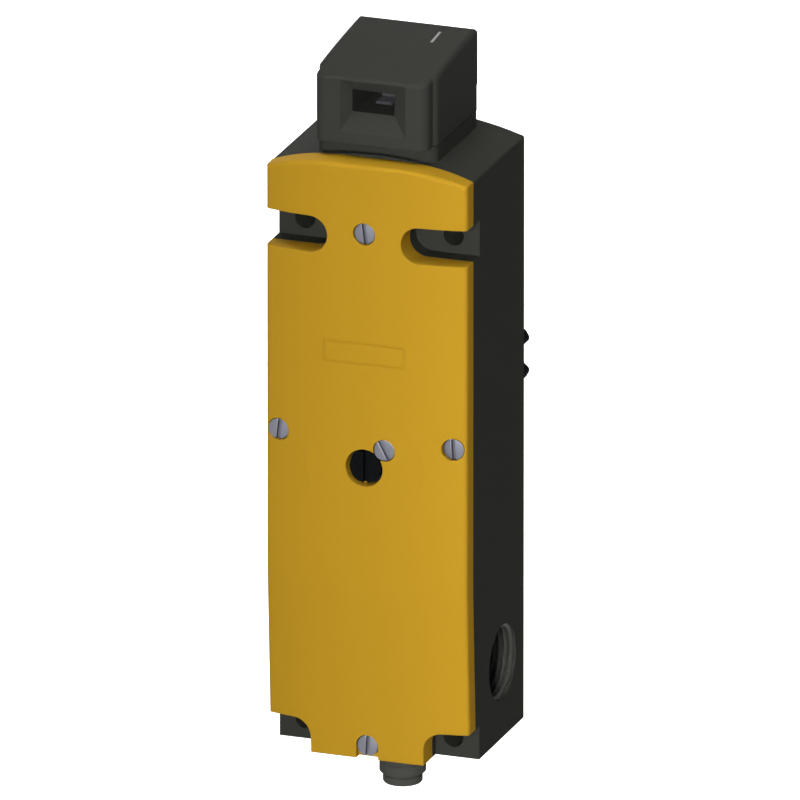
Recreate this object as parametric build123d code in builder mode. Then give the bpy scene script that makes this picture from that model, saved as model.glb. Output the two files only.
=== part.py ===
"""Safety interlock switch with a turning head, a yellow cover, a guard lock and an escape release.

Frame: +X to the right seen from the front, -Y to the front, +Z up. The origin is on the rear
mounting face, in the middle of the four mounting holes. A "level" is a height above the
underside of the housing, and a "depth" is a distance in front of the rear face.
"""

from build123d import *
from math import cos, radians, sin, sqrt
import os

os.makedirs("parts", exist_ok=True)

# Fits and gaps
running = 0.05
free = 0.3
screw_play = 0.1

# Mounting holes: the pattern that the whole frame hangs on
mount_pitch_x = 40.0
mount_pitch_z = 135.0
mount_hole_d = 5.3
lower_mount_level = 5.25

# Housing
body_width = 54.0
body_depth = 38.2
lug_depth = 33.5
housing_level = 161.0
crown_radius = 90.0
bend_level = 47.0
bend_setback = 2.3
housing_edge = 0.6
side_wall = 3.2
rear_wall = 3.5
floor_level = 12.0
ceiling_level = 131.0
pocket_corner = 3.0
boss_radius = 4.2

# Cover
cover_level = 160.2
cover_flat = 18.0
cover_height = 6.8
cover_side_height = 4.8
cover_depth = body_depth + cover_height
cover_side_depth = body_depth + cover_side_height
cover_band = 24.0
cover_edge = 1.1
cover_skin = 2.6
slot_level = 140.4
slot_height = 9.7
slot_reach = 9.9
notch_level = 9.0
notch_reach = 15.2
notch_radius = 4.9
pad_radius = 15.8
gasket_width = 1.4
gasket_thickness = 0.8
field_width = 22.0
field_height = 5.9
field_level = 109.75
field_line = 0.5
field_groove = 0.2

# Cover screws
screw_head_r = 2.85
screw_head = 2.0
screw_shank_r = 1.5
screw_length = 12.0
screw_slot = 0.8
screw_recess = 0.4
small_head_r = 2.4
small_head = 1.6
small_screw = 6.0
top_screw_level = 141.9
side_screw_level = 86.5
side_screw_inset = 3.5
side_screw_x = body_width / 2 - side_screw_inset
bottom_screw_level = 3.5
seal_screw_x = 5.3
seal_screw_level = 84.4
seal_screw_length = 4.2

# Cable entries in the sides and the connector entry in the underside
entry_level = 20.4
entry_depth = 16.0
entry_r = 10.0
entry_length = 10.0
entry_membrane = 1.2
entry_boss_r = 12.4

# Head, square on plan so that it can be turned in quarter turns
head_axis_depth = 20.15
head_width = 32.0
head_corner = 2.8
head_rear_corner = 0.5
pedestal_rear_corner = 1.5
head_bottom_level = 164.0
pedestal_root = 9.0
head_rear_level = 185.9
head_front_level = 181.7
head_top_radius = 357.0
head_edge = 1.2
panel_width = 30.2
panel_depth = 40.6
head_wall = 3.5
head_roof = 2.2
skirt_level = 171.0
skirt_recess = 0.9
funnel_width = 17.6
funnel_shift = 0.8
funnel_height = 13.8
funnel_level = 174.1
throat_width = 11.3
throat_height = 5.8
throat_level = 174.9
throat_depth = 37.8
spigot_r = 9.0
spigot_bottom_level = 150.3
spigot_groove_r = 7.5
clip_level = 154.0
clip_thickness = 1.5
clip_width = 21.0
clip_bite = 0.2

# Cam in the head
cam_level = 172.0
cam_r = 10.0
cam_width = 4.0
cam_turn = 60.0
cam_dwell = 25.0
cam_notch_rise = 2.9
cam_notch_height = 4.6
cam_notch_depth = 4.5
cam_axle_r = 1.5
cam_axle_length = 20.0
plunger_r = 3.0
plunger_tip_r = 1.2
plunger_flat = 0.7

# Transmission rod, pusher, lock collar
rod_top_level = 150.3
rod_shoulder_level = 124.0
rod_bottom_level = 90.4
stem_r = 2.0
pusher_height = 3.0
pusher_margin = 0.7
pusher_depth = 6.3
collar_r = 4.0
collar_thickness = 2.0
lock_plate = 2.0
rod_travel = collar_thickness + lock_plate + 2 * free

# Lock slide, which steps a keyhole round the stem
lock_level = 93.0
lock_travel = 4.5
lock_width = 12.0
lock_rear_depth = 9.0
lock_front_web = 2.55
lock_front_depth = head_axis_depth + collar_r + free + lock_front_web
pin_depth = 11.0
pin_r = 1.0

# Springs
spring_wire_r = 0.4
spring_wire_sides = 6
rod_spring_r = 3.4
rod_spring_turns = 6
lock_spring_turns = 4

# Lock link: a bent strip between the armature and the lock slide
link_strip = 1.2
link_inner = 18.4
link_front_depth = 26.4
link_rear_depth = 13.9
link_slot_front = 18.0
link_slot_rear = 8.0
link_foot_level = 71.0
link_foot = 1.5
link_top_level = 100.6

# Solenoid
solenoid_level = 27.0
solenoid_height = 35.0
solenoid_gap = 1.3
solenoid_width = body_width - 2 * (entry_length + entry_membrane + solenoid_gap)
solenoid_depth = 21.0
solenoid_strap = 2.0
solenoid_lug = 5.0
solenoid_lug_level = 44.5
solenoid_lug_height = 9.0
solenoid_pad_r = 3.2
bobbin_bore_r = 5.2
bobbin_wall = 1.0
bobbin_gap = 0.5
bobbin_flange_r = solenoid_width / 2 - solenoid_strap - bobbin_gap
bobbin_flange = 1.5
coil_inset = 1.0
coil_r = bobbin_flange_r - coil_inset
armature_r = 5.0
core_height = 10.0
stud_r = 2.4
nut_width = 8.0
nut_height = 2.0
rivet_r = 2.9
rivet_head = 0.5

# Mechanism chassis and contact blocks
chassis_plate = 2.0
chassis_width = 37.0
chassis_level = 90.4
chassis_top_level = 120.0
chassis_screw_x = 14.0
chassis_screw_level = 94.5
shelf_half = 8.3
passage_half = 4.4
guide_play = 0.2
guide_rear_depth = 18.5
guide_top_level = 99.0
guide_roof = 1.2
block_inner = 11.0
block_gap = 1.4
block_outer = body_width / 2 - side_wall - block_gap
block_front_depth = 31.0
block_bottom_level = 99.0
block_top_level = 118.0
block_wall = 2.0
carrier_r = 1.6
carrier_x = (block_inner + block_outer) / 2
contact_drop = 5.0
bridge_length = 15.0
bridge_pitch = 11.0
contact_width = 3.4
bridge_thickness = 1.0
contact_pad_r = 1.2
contact_pad = 0.7

# Release shaft and escape knob
release_level = 79.2
release_hole_r = 5.0
release_face_drop = 1.0
release_face_depth = cover_depth - release_face_drop
release_button_r = 4.2
release_flange_r = 6.0
release_flange = 2.1
release_slot = 1.2
release_slot_depth = 1.6
button_seal_height = 2.8
button_seal_depth = body_depth + button_seal_height
shaft_r = 3.0
bush_r = 5.0
bush_boss_r = 8.0
bush_front_depth = 9.0
bush_rear_depth = 2.8
seal_rear_depth = 0.8
shaft_end = 9.0
sleeve_start = 1.5
cross_pin_y = 5.0
cross_pin_r = 1.0
release_hub_r = 3.4
release_nose_r = 0.8
release_lift = 7.4
release_play = 0.9
release_cam_width = 5.2
sleeve_r = 4.5
knob_rear = 52.0
knob_thickness = 8.0
knob_r = 11.1
knob_scallops = 6
knob_scallop_r = 4.2
knob_scallop_ring = 12.0
knob_edge = 0.6
knob_web = 3.2
knob_screw_length = 10.0

# Connector in the underside
connector_thread_r = 6.0
connector_thread_level = -12.2
connector_groove_r = 4.8
connector_groove = 0.8
connector_tip_r = 5.1
connector_tip_level = -14.9
connector_hex = 22.0
connector_hex_thickness = 3.5
connector_seal = 0.8
connector_socket_r = 4.4
connector_insert_level = -6.0
contact_pin_r = 0.5
contact_pin_circle = 2.75
contact_pin_tip_level = -12.6
contact_pin_top_level = 14.0
contact_pins = 7

# Terminal block
terminal_cells = 6
terminal_pitch = 4.6
terminal_thickness = 7.9
terminal_setback = 2.8
terminal_front_depth = body_depth - terminal_setback
terminal_rear_depth = terminal_front_depth - terminal_thickness
terminal_height = 13.5
terminal_wall = 0.8
terminal_screw_r = 1.5
terminal_well = 4.0
terminal_wire_r = 1.3


def at(level):
    """Z of a level above the underside."""
    return level - mount_pitch_z / 2 - lower_mount_level


def front_of_cover(x, level):
    """Depth of the cover's front surface at a place seen from the front."""
    lean = bend_setback * max(0, bend_level - level) / bend_level
    drop = cover_depth - cover_side_depth
    run = body_width / 2 - cover_band / 2
    radius = (run**2 + drop**2) / (2 * drop)
    past_band = max(0, abs(x) - cover_band / 2)
    return cover_depth - lean - radius + sqrt(radius**2 - past_band**2)


def leaning_slab(back, front, outline):
    """Slab between two depths that follows the lean of the front, cut to a front view."""
    with BuildPart() as slab:
        with BuildSketch(Plane.YZ):
            with BuildLine():
                Polyline(
                    (-back, at(cover_level)),
                    (-back, at(bend_level)),
                    (bend_setback - back, at(0)),
                    (bend_setback - front, at(0)),
                    (-front, at(bend_level)),
                    (-front, at(cover_level)),
                    close=True,
                )
            make_face()
        extrude(amount=body_width / 2, both=True)
        extrude(outline, amount=cover_depth + 1, mode=Mode.INTERSECT)
    return slab.part


chassis_screw_places = [(side * chassis_screw_x, at(chassis_screw_level)) for side in (-1, 1)]

# Front views of housing and cover: straight sides and a flat underside. The housing's top is one
# arch, and the cover's is flat in the middle and falls in an arc to the same shoulders.
shoulder_level = housing_level - crown_radius + sqrt(crown_radius**2 - (body_width / 2) ** 2)
body_corners = [
    (body_width / 2, at(shoulder_level)),
    (body_width / 2, at(0)),
    (-body_width / 2, at(0)),
    (-body_width / 2, at(shoulder_level)),
]
with BuildSketch(Plane.XZ) as housing_outline:
    with BuildLine():
        Polyline(*body_corners)
        ThreePointArc(body_corners[-1], (0, at(housing_level)), body_corners[0])
    make_face()
with BuildSketch(Plane.XZ) as cover_outline:
    with BuildLine():
        Polyline(*body_corners)
        crown = Line((-cover_flat / 2, at(cover_level)), (cover_flat / 2, at(cover_level)))
        TangentArc(crown @ 1, body_corners[0], tangent=(1, 0))
        TangentArc(crown @ 0, body_corners[-1], tangent=(-1, 0))
    make_face()

# Front view of the inner pocket, with the two side screws left standing in bosses
with BuildSketch(Plane.XZ) as pocket_outline:
    pocket_centre = (at(floor_level) + at(ceiling_level)) / 2
    with Locations((0, pocket_centre)):
        Rectangle(body_width - 2 * side_wall, ceiling_level - floor_level)
    fillet(pocket_outline.vertices(), radius=pocket_corner)
    with Locations((-side_screw_x, at(side_screw_level)), (side_screw_x, at(side_screw_level))):
        Circle(boss_radius, mode=Mode.SUBTRACT)

# Side slots and lower notches that leave the mounting lugs open to the front
with BuildSketch(Plane.XZ.offset(lug_depth)) as lug_openings:
    slot_r = slot_height / 2
    for side in (-1, 1):
        with Locations((side * (slot_reach + slot_r), at(slot_level))):
            Circle(slot_r)
        with Locations((side * body_width / 2, at(slot_level))):
            Rectangle(body_width - 2 * (slot_reach + slot_r), slot_height)
        with Locations((side * body_width / 2, at(0))):
            Rectangle(body_width - 2 * notch_reach, 2 * notch_level)
    inner_corners = [
        corner
        for corner in lug_openings.vertices()
        if abs(abs(corner.X) - notch_reach) < 0.01 and corner.Y > at(0)
    ]
    fillet(inner_corners, radius=notch_radius)

# Housing
with BuildPart() as housing:
    extrude(housing_outline.sketch, amount=body_depth)
    fillet(housing.edges().filter_by(Axis.Y).group_by(Axis.Z)[-1], radius=housing_edge)
    # The front leans back below the bend
    with BuildSketch(Plane.YZ.offset(-body_width / 2)):
        with BuildLine():
            Polyline(
                (-body_depth, at(bend_level)),
                (-body_depth, at(0)),
                (bend_setback - body_depth, at(0)),
                close=True,
            )
        make_face()
    extrude(amount=body_width, mode=Mode.SUBTRACT)
    # Pedestal under the head
    with BuildSketch(Plane.XY.offset(at(housing_level - pedestal_root))) as pedestal:
        with Locations((0, -head_axis_depth)):
            Rectangle(head_width, head_width)
        fillet(pedestal.vertices().group_by(Axis.Y)[0], radius=head_corner)
        fillet(pedestal.vertices().group_by(Axis.Y)[-1], radius=pedestal_rear_corner)
    extrude(amount=head_bottom_level - housing_level + pedestal_root)
    # Inner pocket, open to the front
    pocket_front = pocket_outline.sketch.moved(Location((0, -rear_wall, 0)))
    extrude(pocket_front, amount=body_depth, mode=Mode.SUBTRACT)
    # Bosses of the side entries, the shaft bush and the solenoid's feet
    for side in (-1, 1):
        with BuildSketch(Plane.YZ.offset(side * (body_width / 2 - side_wall / 2))):
            with Locations((-entry_depth, at(entry_level))):
                Circle(entry_boss_r)
        extrude(amount=-side * (entry_length + entry_membrane - side_wall / 2))
    with BuildSketch(Plane.XZ.offset(rear_wall)):
        with Locations((0, at(release_level))):
            Circle(bush_boss_r)
    extrude(amount=bush_front_depth - rear_wall)
    with BuildSketch(Plane.XZ.offset(rear_wall)):
        with GridLocations(solenoid_width + solenoid_lug, 0, 2, 1):
            with Locations((0, at(solenoid_lug_level))):
                Circle(solenoid_pad_r)
    extrude(amount=head_axis_depth - solenoid_depth / 2 - rear_wall)
    # Threaded entries: two in the sides, one in the underside
    for side in (-1, 1):
        with BuildSketch(Plane.YZ.offset(side * body_width / 2)):
            with Locations((-entry_depth, at(entry_level))):
                Circle(entry_r)
        extrude(amount=-side * entry_length, mode=Mode.SUBTRACT)
    with BuildSketch(Plane.XY.offset(at(0))):
        with Locations((0, -entry_depth)):
            Circle(entry_r)
    extrude(amount=floor_level, mode=Mode.SUBTRACT)
    # Seat for the head: spigot bore, rod guide and the slot of the retaining clip
    with BuildSketch(Plane.XY.offset(at(head_bottom_level))):
        with Locations((0, -head_axis_depth)):
            Circle(spigot_r + running)
    extrude(amount=spigot_bottom_level - free - head_bottom_level, mode=Mode.SUBTRACT)
    with BuildSketch(Plane.XY.offset(at(ceiling_level))):
        with Locations((0, -head_axis_depth)):
            Circle(plunger_r + running)
    extrude(amount=spigot_bottom_level - ceiling_level, mode=Mode.SUBTRACT)
    with BuildSketch(Plane.XZ.offset(body_depth)):
        with Locations((0, at(clip_level + clip_thickness / 2))):
            Rectangle(clip_width + 2 * clip_bite, clip_thickness + clip_bite)
    extrude(amount=-(body_depth - head_axis_depth + spigot_r), mode=Mode.SUBTRACT)
    # Openings in front of the mounting lugs, and the mounting holes
    extrude(lug_openings.sketch, amount=body_depth - lug_depth, mode=Mode.SUBTRACT)
    with BuildSketch(Plane.XZ):
        with GridLocations(mount_pitch_x, mount_pitch_z, 2, 2):
            Circle(mount_hole_d / 2)
        with Locations((0, at(release_level))):
            Circle(bush_r)
    extrude(amount=body_depth, mode=Mode.SUBTRACT)
    # Blind holes for the screws of the cover, the solenoid and the chassis
    with BuildSketch(Plane.XZ.offset(body_depth)):
        with Locations(
            (0, at(top_screw_level)),
            (0, at(bottom_screw_level)),
            (-side_screw_x, at(side_screw_level)),
            (side_screw_x, at(side_screw_level)),
        ):
            Circle(screw_shank_r + screw_play)
    extrude(amount=-screw_length + screw_head, mode=Mode.SUBTRACT)
    with BuildSketch(Plane.XZ.offset(head_axis_depth - solenoid_depth / 2)):
        with GridLocations(solenoid_width + solenoid_lug, 0, 2, 1):
            with Locations((0, at(solenoid_lug_level))):
                Circle(screw_shank_r)
    extrude(amount=rear_wall / 2 - head_axis_depth + solenoid_depth / 2, mode=Mode.SUBTRACT)
    with BuildSketch(Plane.XZ.offset(rear_wall)):
        with Locations(*chassis_screw_places):
            Circle(screw_shank_r)
    extrude(amount=-rear_wall / 2, mode=Mode.SUBTRACT)
housing.part.label = "housing"
export_step(housing.part, "parts/housing.step")

# Hollow behind the cover, with room for the gasket round it and a collar round the release
with BuildSketch(Plane.XZ) as cover_hollow_outline:
    add(pocket_outline.sketch)
    with Locations((0, at(release_level))):
        Circle(release_hole_r + cover_skin, mode=Mode.SUBTRACT)
    with Locations((seal_screw_x, at(seal_screw_level))):
        Circle(screw_head_r + cover_skin / 2, mode=Mode.SUBTRACT)
with BuildSketch(Plane.XZ) as gasket_outline:
    offset(pocket_outline.sketch, amount=gasket_width, kind=Kind.INTERSECTION)
cover_hollow = leaning_slab(body_depth, cover_side_depth - cover_skin / 2, cover_hollow_outline.sketch)
gasket_room = leaning_slab(body_depth, body_depth + gasket_thickness, gasket_outline.sketch)
gasket_hole = leaning_slab(body_depth, body_depth + gasket_thickness, pocket_outline.sketch)

# Cover
cover_screw_places = [
    (0, top_screw_level),
    (0, bottom_screw_level),
    (-side_screw_x, side_screw_level),
    (side_screw_x, side_screw_level),
]
with BuildPart() as cover:
    with BuildSketch(Plane.XY.offset(at(bend_level))) as cover_section:
        with BuildLine():
            half = body_width / 2
            band = Line((-cover_band / 2, -cover_depth), (cover_band / 2, -cover_depth))
            right = TangentArc(band @ 1, (half, -cover_side_depth), tangent=(1, 0))
            left = TangentArc(band @ 0, (-half, -cover_side_depth), tangent=(-1, 0))
            Polyline(right @ 1, (half, -body_depth), (-half, -body_depth), left @ 1)
        make_face()
    extrude(amount=cover_level - bend_level)
    lean = Vector(0, bend_setback, -bend_level)
    extrude(cover_section.sketch, amount=lean.length, dir=lean)
    extrude(cover_outline.sketch, amount=cover_depth + 1, mode=Mode.INTERSECT)
    rim = [
        edge
        for edge in cover.edges()
        if edge.center().Y < -(cover_side_depth - bend_setback)
        and (abs(edge.center().X) > half - 0.01 or edge.center().Z > at(shoulder_level))
    ]
    fillet(rim, radius=cover_edge)
    # Round pad that keeps the flat of the middle band
    with BuildSketch(Plane.XZ.offset(body_depth + cover_skin)):
        with Locations((0, at(release_level))):
            Circle(pad_radius)
    extrude(amount=cover_depth - body_depth - cover_skin)
    # Slots, notches, the hollow and the gasket's rebate
    extrude(lug_openings.sketch, amount=cover_depth - lug_depth + 1, mode=Mode.SUBTRACT)
    add(cover_hollow, mode=Mode.SUBTRACT)
    add(gasket_room, mode=Mode.SUBTRACT)
    # Holes with counterbores for the screws, each set in from the surface there
    for x, level in cover_screw_places + [(seal_screw_x, seal_screw_level)]:
        seat_depth = front_of_cover(x, level) - screw_recess - screw_head
        with BuildSketch(Plane.XZ.offset(seat_depth)):
            with Locations((x, at(level))):
                Circle(screw_head_r + screw_play)
        extrude(amount=cover_depth, mode=Mode.SUBTRACT)
        with BuildSketch(Plane.XZ):
            with Locations((x, at(level))):
                Circle(screw_shank_r + screw_play)
        extrude(amount=cover_depth, mode=Mode.SUBTRACT)
    # The bottom screw sits in a notch that is open downwards
    with BuildSketch(Plane.XZ.offset(front_of_cover(0, bottom_screw_level) - screw_recess - screw_head)):
        with Locations((0, at(0))):
            Rectangle(2 * (screw_head_r + screw_play), 2 * bottom_screw_level)
    extrude(amount=cover_depth, mode=Mode.SUBTRACT)
    # Release hole
    with BuildSketch(Plane.XZ):
        with Locations((0, at(release_level))):
            Circle(release_hole_r)
    extrude(amount=cover_depth + 1, mode=Mode.SUBTRACT)
    # Fine outline of the bare marking field
    with BuildSketch(Plane.XZ.offset(cover_depth - field_groove)):
        with Locations((0, at(field_level))):
            Rectangle(field_width, field_height)
            Rectangle(field_width - 2 * field_line, field_height - 2 * field_line, mode=Mode.SUBTRACT)
    extrude(amount=1, mode=Mode.SUBTRACT)
cover.part.label = "cover"
export_step(cover.part, "parts/cover.step")

# Gasket between housing and cover
with BuildPart() as cover_gasket:
    add(gasket_room)
    add(gasket_hole, mode=Mode.SUBTRACT)
cover_gasket.part.label = "cover_gasket"
export_step(cover_gasket.part, "parts/cover_gasket.step")


def slotted_screws(places, length):
    """Cheese-head screws driven from the front, each given by x, level and seat depth."""
    with BuildPart() as screws:
        for x, level, seat in places:
            with BuildSketch(Plane.XZ.offset(seat)):
                with Locations((x, at(level))):
                    Circle(screw_head_r)
            extrude(amount=screw_head)
            with BuildSketch(Plane.XZ.offset(seat)):
                with Locations((x, at(level))):
                    Circle(screw_shank_r)
            extrude(amount=-length)
            with BuildSketch(Plane.XZ.offset(seat + screw_head / 2)):
                with Locations((x, at(level))):
                    Rectangle(screw_slot, 3 * screw_head_r)
            extrude(amount=screw_head, mode=Mode.SUBTRACT)
    return screws


def seated(x, level):
    """Place of a screw whose head is set into the cover."""
    return (x, level, front_of_cover(x, level) - screw_recess - screw_head)


cover_screws = slotted_screws([seated(*place) for place in cover_screw_places], screw_length)
cover_screws.part.label = "cover_screws"
export_step(cover_screws.part, "parts/cover_screws.step")
release_seal_screw = slotted_screws([seated(seal_screw_x, seal_screw_level)], seal_screw_length)
release_seal_screw.part.label = "release_seal_screw"
export_step(release_seal_screw.part, "parts/release_seal_screw.step")


def crown_blank(width, rear, front, bottom, drop):
    """Head block from a bottom level up to the sloping crown lowered by a drop."""
    with BuildPart() as blank:
        with BuildSketch(Plane.XY.offset(at(bottom))) as plan:
            with Locations((0, -(rear + front) / 2)):
                Rectangle(width, front - rear)
            fillet(plan.vertices().group_by(Axis.Y)[0], radius=head_corner)
            fillet(plan.vertices().group_by(Axis.Y)[-1], radius=head_rear_corner)
        extrude(amount=head_rear_level - bottom + 1)
        with BuildSketch(Plane.YZ):
            with BuildLine():
                rear_point = (head_width / 2 - head_axis_depth, at(head_rear_level - drop))
                front_point = (-panel_depth, at(head_front_level - drop))
                crown = RadiusArc(front_point, rear_point, head_top_radius)
                tall = at(head_rear_level + head_width)
                Polyline(
                    crown @ 1,
                    (rear_point[0] + 1, rear_point[1] - 0.1),
                    (rear_point[0] + 1, tall),
                    (front_point[0] - 1, tall),
                    (front_point[0] - 1, front_point[1] - 0.1),
                    crown @ 0,
                )
            make_face()
        extrude(amount=width, both=True, mode=Mode.SUBTRACT)
    return blank.part


head_rear_depth = head_axis_depth - head_width / 2
head_front_depth = head_axis_depth + head_width / 2
head_seat_level = head_bottom_level + free / 2
core_width = head_width - 2 * head_wall
core_rear_depth = head_rear_depth + head_wall
core_front_depth = head_front_depth - head_wall

head_block = crown_blank(head_width, head_rear_depth, head_front_depth, head_seat_level, 0)
head_panel = crown_blank(panel_width, head_axis_depth, panel_depth, head_seat_level, 0)
head_core = crown_blank(core_width, core_rear_depth, core_front_depth, head_seat_level, head_roof)

# Head cap: outer shell, raised front panel and the funnel for the actuator
with BuildPart() as head_body:
    add(head_block)
    add(head_panel)
    fillet(head_body.faces().sort_by(Axis.Z)[-1].edges(), radius=head_edge)
    add(head_core, mode=Mode.SUBTRACT)
    with BuildSketch(Plane.XY.offset(at(head_seat_level))):
        with Locations((0, -head_rear_depth)):
            Rectangle(2 * head_width, 2 * skirt_recess)
    extrude(amount=skirt_level - head_seat_level, mode=Mode.SUBTRACT)
    with BuildSketch(Plane.XZ.offset(panel_depth)):
        with Locations((funnel_shift, at(funnel_level))):
            Rectangle(funnel_width, funnel_height)
    with BuildSketch(Plane.XZ.offset(throat_depth)):
        with Locations((0, at(throat_level))):
            Rectangle(throat_width, throat_height)
    loft(mode=Mode.SUBTRACT)
    with BuildSketch(Plane.XZ.offset(core_rear_depth + head_wall)):
        with Locations((0, at(throat_level))):
            Rectangle(throat_width, throat_height)
    extrude(amount=throat_depth - core_rear_depth - head_wall, mode=Mode.SUBTRACT)
head_body.part.label = "head_body"
export_step(head_body.part, "parts/head_body.step")

# Head core: carries the cam and turns in the housing on its spigot
with BuildPart() as head_carrier:
    add(
        crown_blank(
            core_width - 2 * screw_play,
            core_rear_depth + screw_play,
            core_front_depth - screw_play,
            head_seat_level,
            head_roof + screw_play,
        )
    )
    with BuildSketch(Plane.XY.offset(at(head_seat_level))):
        with Locations((0, -head_axis_depth)):
            Circle(spigot_r)
    extrude(amount=spigot_bottom_level - head_seat_level)
    # Groove for the retaining clip
    with BuildSketch(Plane.XY.offset(at(clip_level - clip_bite))):
        with Locations((0, -head_axis_depth)):
            Circle(spigot_r + 1)
            Circle(spigot_groove_r, mode=Mode.SUBTRACT)
    extrude(amount=clip_thickness + 2 * clip_bite, mode=Mode.SUBTRACT)
    # Room for the cam, the axle and the plunger, and the way in for the actuator
    with BuildSketch(Plane.YZ):
        with Locations((-head_axis_depth, at(cam_level))):
            Circle(cam_r + free)
    extrude(amount=cam_width / 2 + free, both=True, mode=Mode.SUBTRACT)
    with BuildSketch(Plane.YZ):
        with Locations((-head_axis_depth, at(cam_level))):
            Circle(cam_axle_r + running)
    extrude(amount=cam_axle_length / 2 + free, both=True, mode=Mode.SUBTRACT)
    with BuildSketch(Plane.XY.offset(at(spigot_bottom_level))):
        with Locations((0, -head_axis_depth)):
            Circle(plunger_r + running)
    extrude(amount=cam_level - spigot_bottom_level, mode=Mode.SUBTRACT)
    with BuildSketch(Plane.XZ.offset(core_rear_depth + head_wall)):
        with Locations((0, at(throat_level))):
            Rectangle(throat_width, throat_height)
    extrude(amount=core_front_depth, mode=Mode.SUBTRACT)
head_carrier.part.label = "head_carrier"
export_step(head_carrier.part, "parts/head_carrier.step")

# Retaining clip: a flat fork from the front into the spigot's groove
with BuildPart() as head_clip:
    clip_front_depth = body_depth - 1
    with BuildSketch(Plane.XY.offset(at(clip_level))):
        with Locations((0, -clip_front_depth)):
            Rectangle(
                clip_width,
                clip_front_depth - head_axis_depth + spigot_groove_r,
                align=(Align.CENTER, Align.MIN),
            )
        with Locations((0, -head_axis_depth)):
            Circle(spigot_groove_r + clip_bite, mode=Mode.SUBTRACT)
            Rectangle(
                2 * (spigot_groove_r + clip_bite),
                clip_width,
                align=(Align.CENTER, Align.MIN),
                mode=Mode.SUBTRACT,
            )
    extrude(amount=clip_thickness)
head_clip.part.label = "head_clip"
export_step(head_clip.part, "parts/head_clip.step")

# Cam wheel: a full circle that falls away evenly on the side that comes round to the plunger
cam_centre = (-head_axis_depth, at(cam_level))


def cam_place(turn):
    """Place on the rim that is over the plunger once the cam has turned by an angle."""
    reach = cam_r - rod_travel * turn / cam_turn
    return (cam_centre[0] + reach * sin(radians(turn)), cam_centre[1] - reach * cos(radians(turn)))


with BuildPart() as cam_wheel:
    with BuildSketch(Plane.YZ.offset(-cam_width / 2)):
        with BuildLine():
            Spline([cam_place(cam_turn * step / 4) for step in range(5)])
            dwell = CenterArc(cam_centre, cam_r - rod_travel, cam_turn - 90, cam_dwell)
            rim = CenterArc(cam_centre, cam_r, cam_turn + cam_dwell - 90, 360 - cam_turn - cam_dwell)
            Line(dwell @ 1, rim @ 0)
        make_face()
        with Locations(cam_centre):
            Circle(cam_axle_r + running, mode=Mode.SUBTRACT)
            with Locations((-cam_r, cam_notch_rise)):
                Rectangle(2 * cam_notch_depth, cam_notch_height, mode=Mode.SUBTRACT)
    extrude(amount=cam_width)
cam_wheel.part.label = "cam_wheel"
export_step(cam_wheel.part, "parts/cam_wheel.step")

with BuildPart() as cam_axle:
    with BuildSketch(Plane.YZ):
        with Locations(cam_centre):
            Circle(cam_axle_r)
    extrude(amount=cam_axle_length / 2, both=True)
cam_axle.part.label = "cam_axle"
export_step(cam_axle.part, "parts/cam_axle.step")

# Plunger in the head: a round pin with a rounded edge that follows the cam
plunger_top = cam_level - cam_r - free
with BuildPart() as head_plunger:
    with BuildSketch(Plane.XY.offset(at(rod_top_level + free))):
        with Locations((0, -head_axis_depth)):
            Circle(plunger_r)
    extrude(amount=plunger_top - plunger_r - rod_top_level - free)
    with BuildSketch(Plane.YZ):
        with Locations((-head_axis_depth, at(plunger_top - plunger_tip_r))):
            Circle(plunger_tip_r)
        with Locations((-head_axis_depth, at(plunger_top - plunger_r - free))):
            Rectangle(2 * plunger_r * plunger_flat, 2 * free)
        make_hull()
    extrude(amount=cam_width / 2, both=True)
head_plunger.part.label = "head_plunger"
export_step(head_plunger.part, "parts/head_plunger.step")


def disc(radius, bottom, height, hole=0):
    """Round disc on the head's axis between two levels, with an optional hole."""
    with BuildPart() as round_disc:
        with BuildSketch(Plane.XY.offset(at(bottom))):
            with Locations((0, -head_axis_depth)):
                Circle(radius)
                if hole:
                    Circle(hole, mode=Mode.SUBTRACT)
        extrude(amount=height)
    return round_disc


# Transmission rod with its pusher and the collar that the lock holds
with BuildPart() as transmission_rod:
    with BuildSketch(Plane.XY.offset(at(rod_bottom_level))):
        with Locations((0, -head_axis_depth)):
            Circle(stem_r)
    extrude(amount=rod_shoulder_level - rod_bottom_level)
    with BuildSketch(Plane.XY.offset(at(rod_shoulder_level))):
        with Locations((0, -head_axis_depth)):
            Circle(plunger_r)
    extrude(amount=rod_top_level - rod_shoulder_level)
transmission_rod.part.label = "transmission_rod"
export_step(transmission_rod.part, "parts/transmission_rod.step")

with BuildPart() as contact_pusher:
    with BuildSketch(Plane.XY.offset(at(rod_shoulder_level - pusher_height))):
        with Locations((0, -head_axis_depth)):
            SlotOverall(2 * (carrier_x + carrier_r + pusher_margin), pusher_depth)
            Circle(stem_r + running, mode=Mode.SUBTRACT)
    extrude(amount=pusher_height)
contact_pusher.part.label = "contact_pusher"
export_step(contact_pusher.part, "parts/contact_pusher.step")

lock_collar = disc(collar_r, lock_level - free - collar_thickness, collar_thickness, stem_r + running)
lock_collar.part.label = "lock_collar"
export_step(lock_collar.part, "parts/lock_collar.step")


def coil_spring(bottom, top, mean_r, wire_r, turns):
    """Compression spring on the head's axis between two levels."""
    height = top - bottom - 2 * wire_r
    start = Vector(mean_r, -head_axis_depth, at(bottom + wire_r))
    with BuildPart() as spring:
        with BuildLine():
            coil = Helix(height / turns, height, mean_r, center=(0, -head_axis_depth, start.Z))
        with BuildSketch(Plane(origin=coil @ 0, z_dir=coil % 0)):
            RegularPolygon(wire_r, spring_wire_sides)
        sweep(is_frenet=True)
    return spring


rod_spring = coil_spring(
    guide_top_level, rod_shoulder_level - pusher_height, rod_spring_r, spring_wire_r, rod_spring_turns
)
rod_spring.part.label = "rod_spring"
export_step(rod_spring.part, "parts/rod_spring.step")

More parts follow.
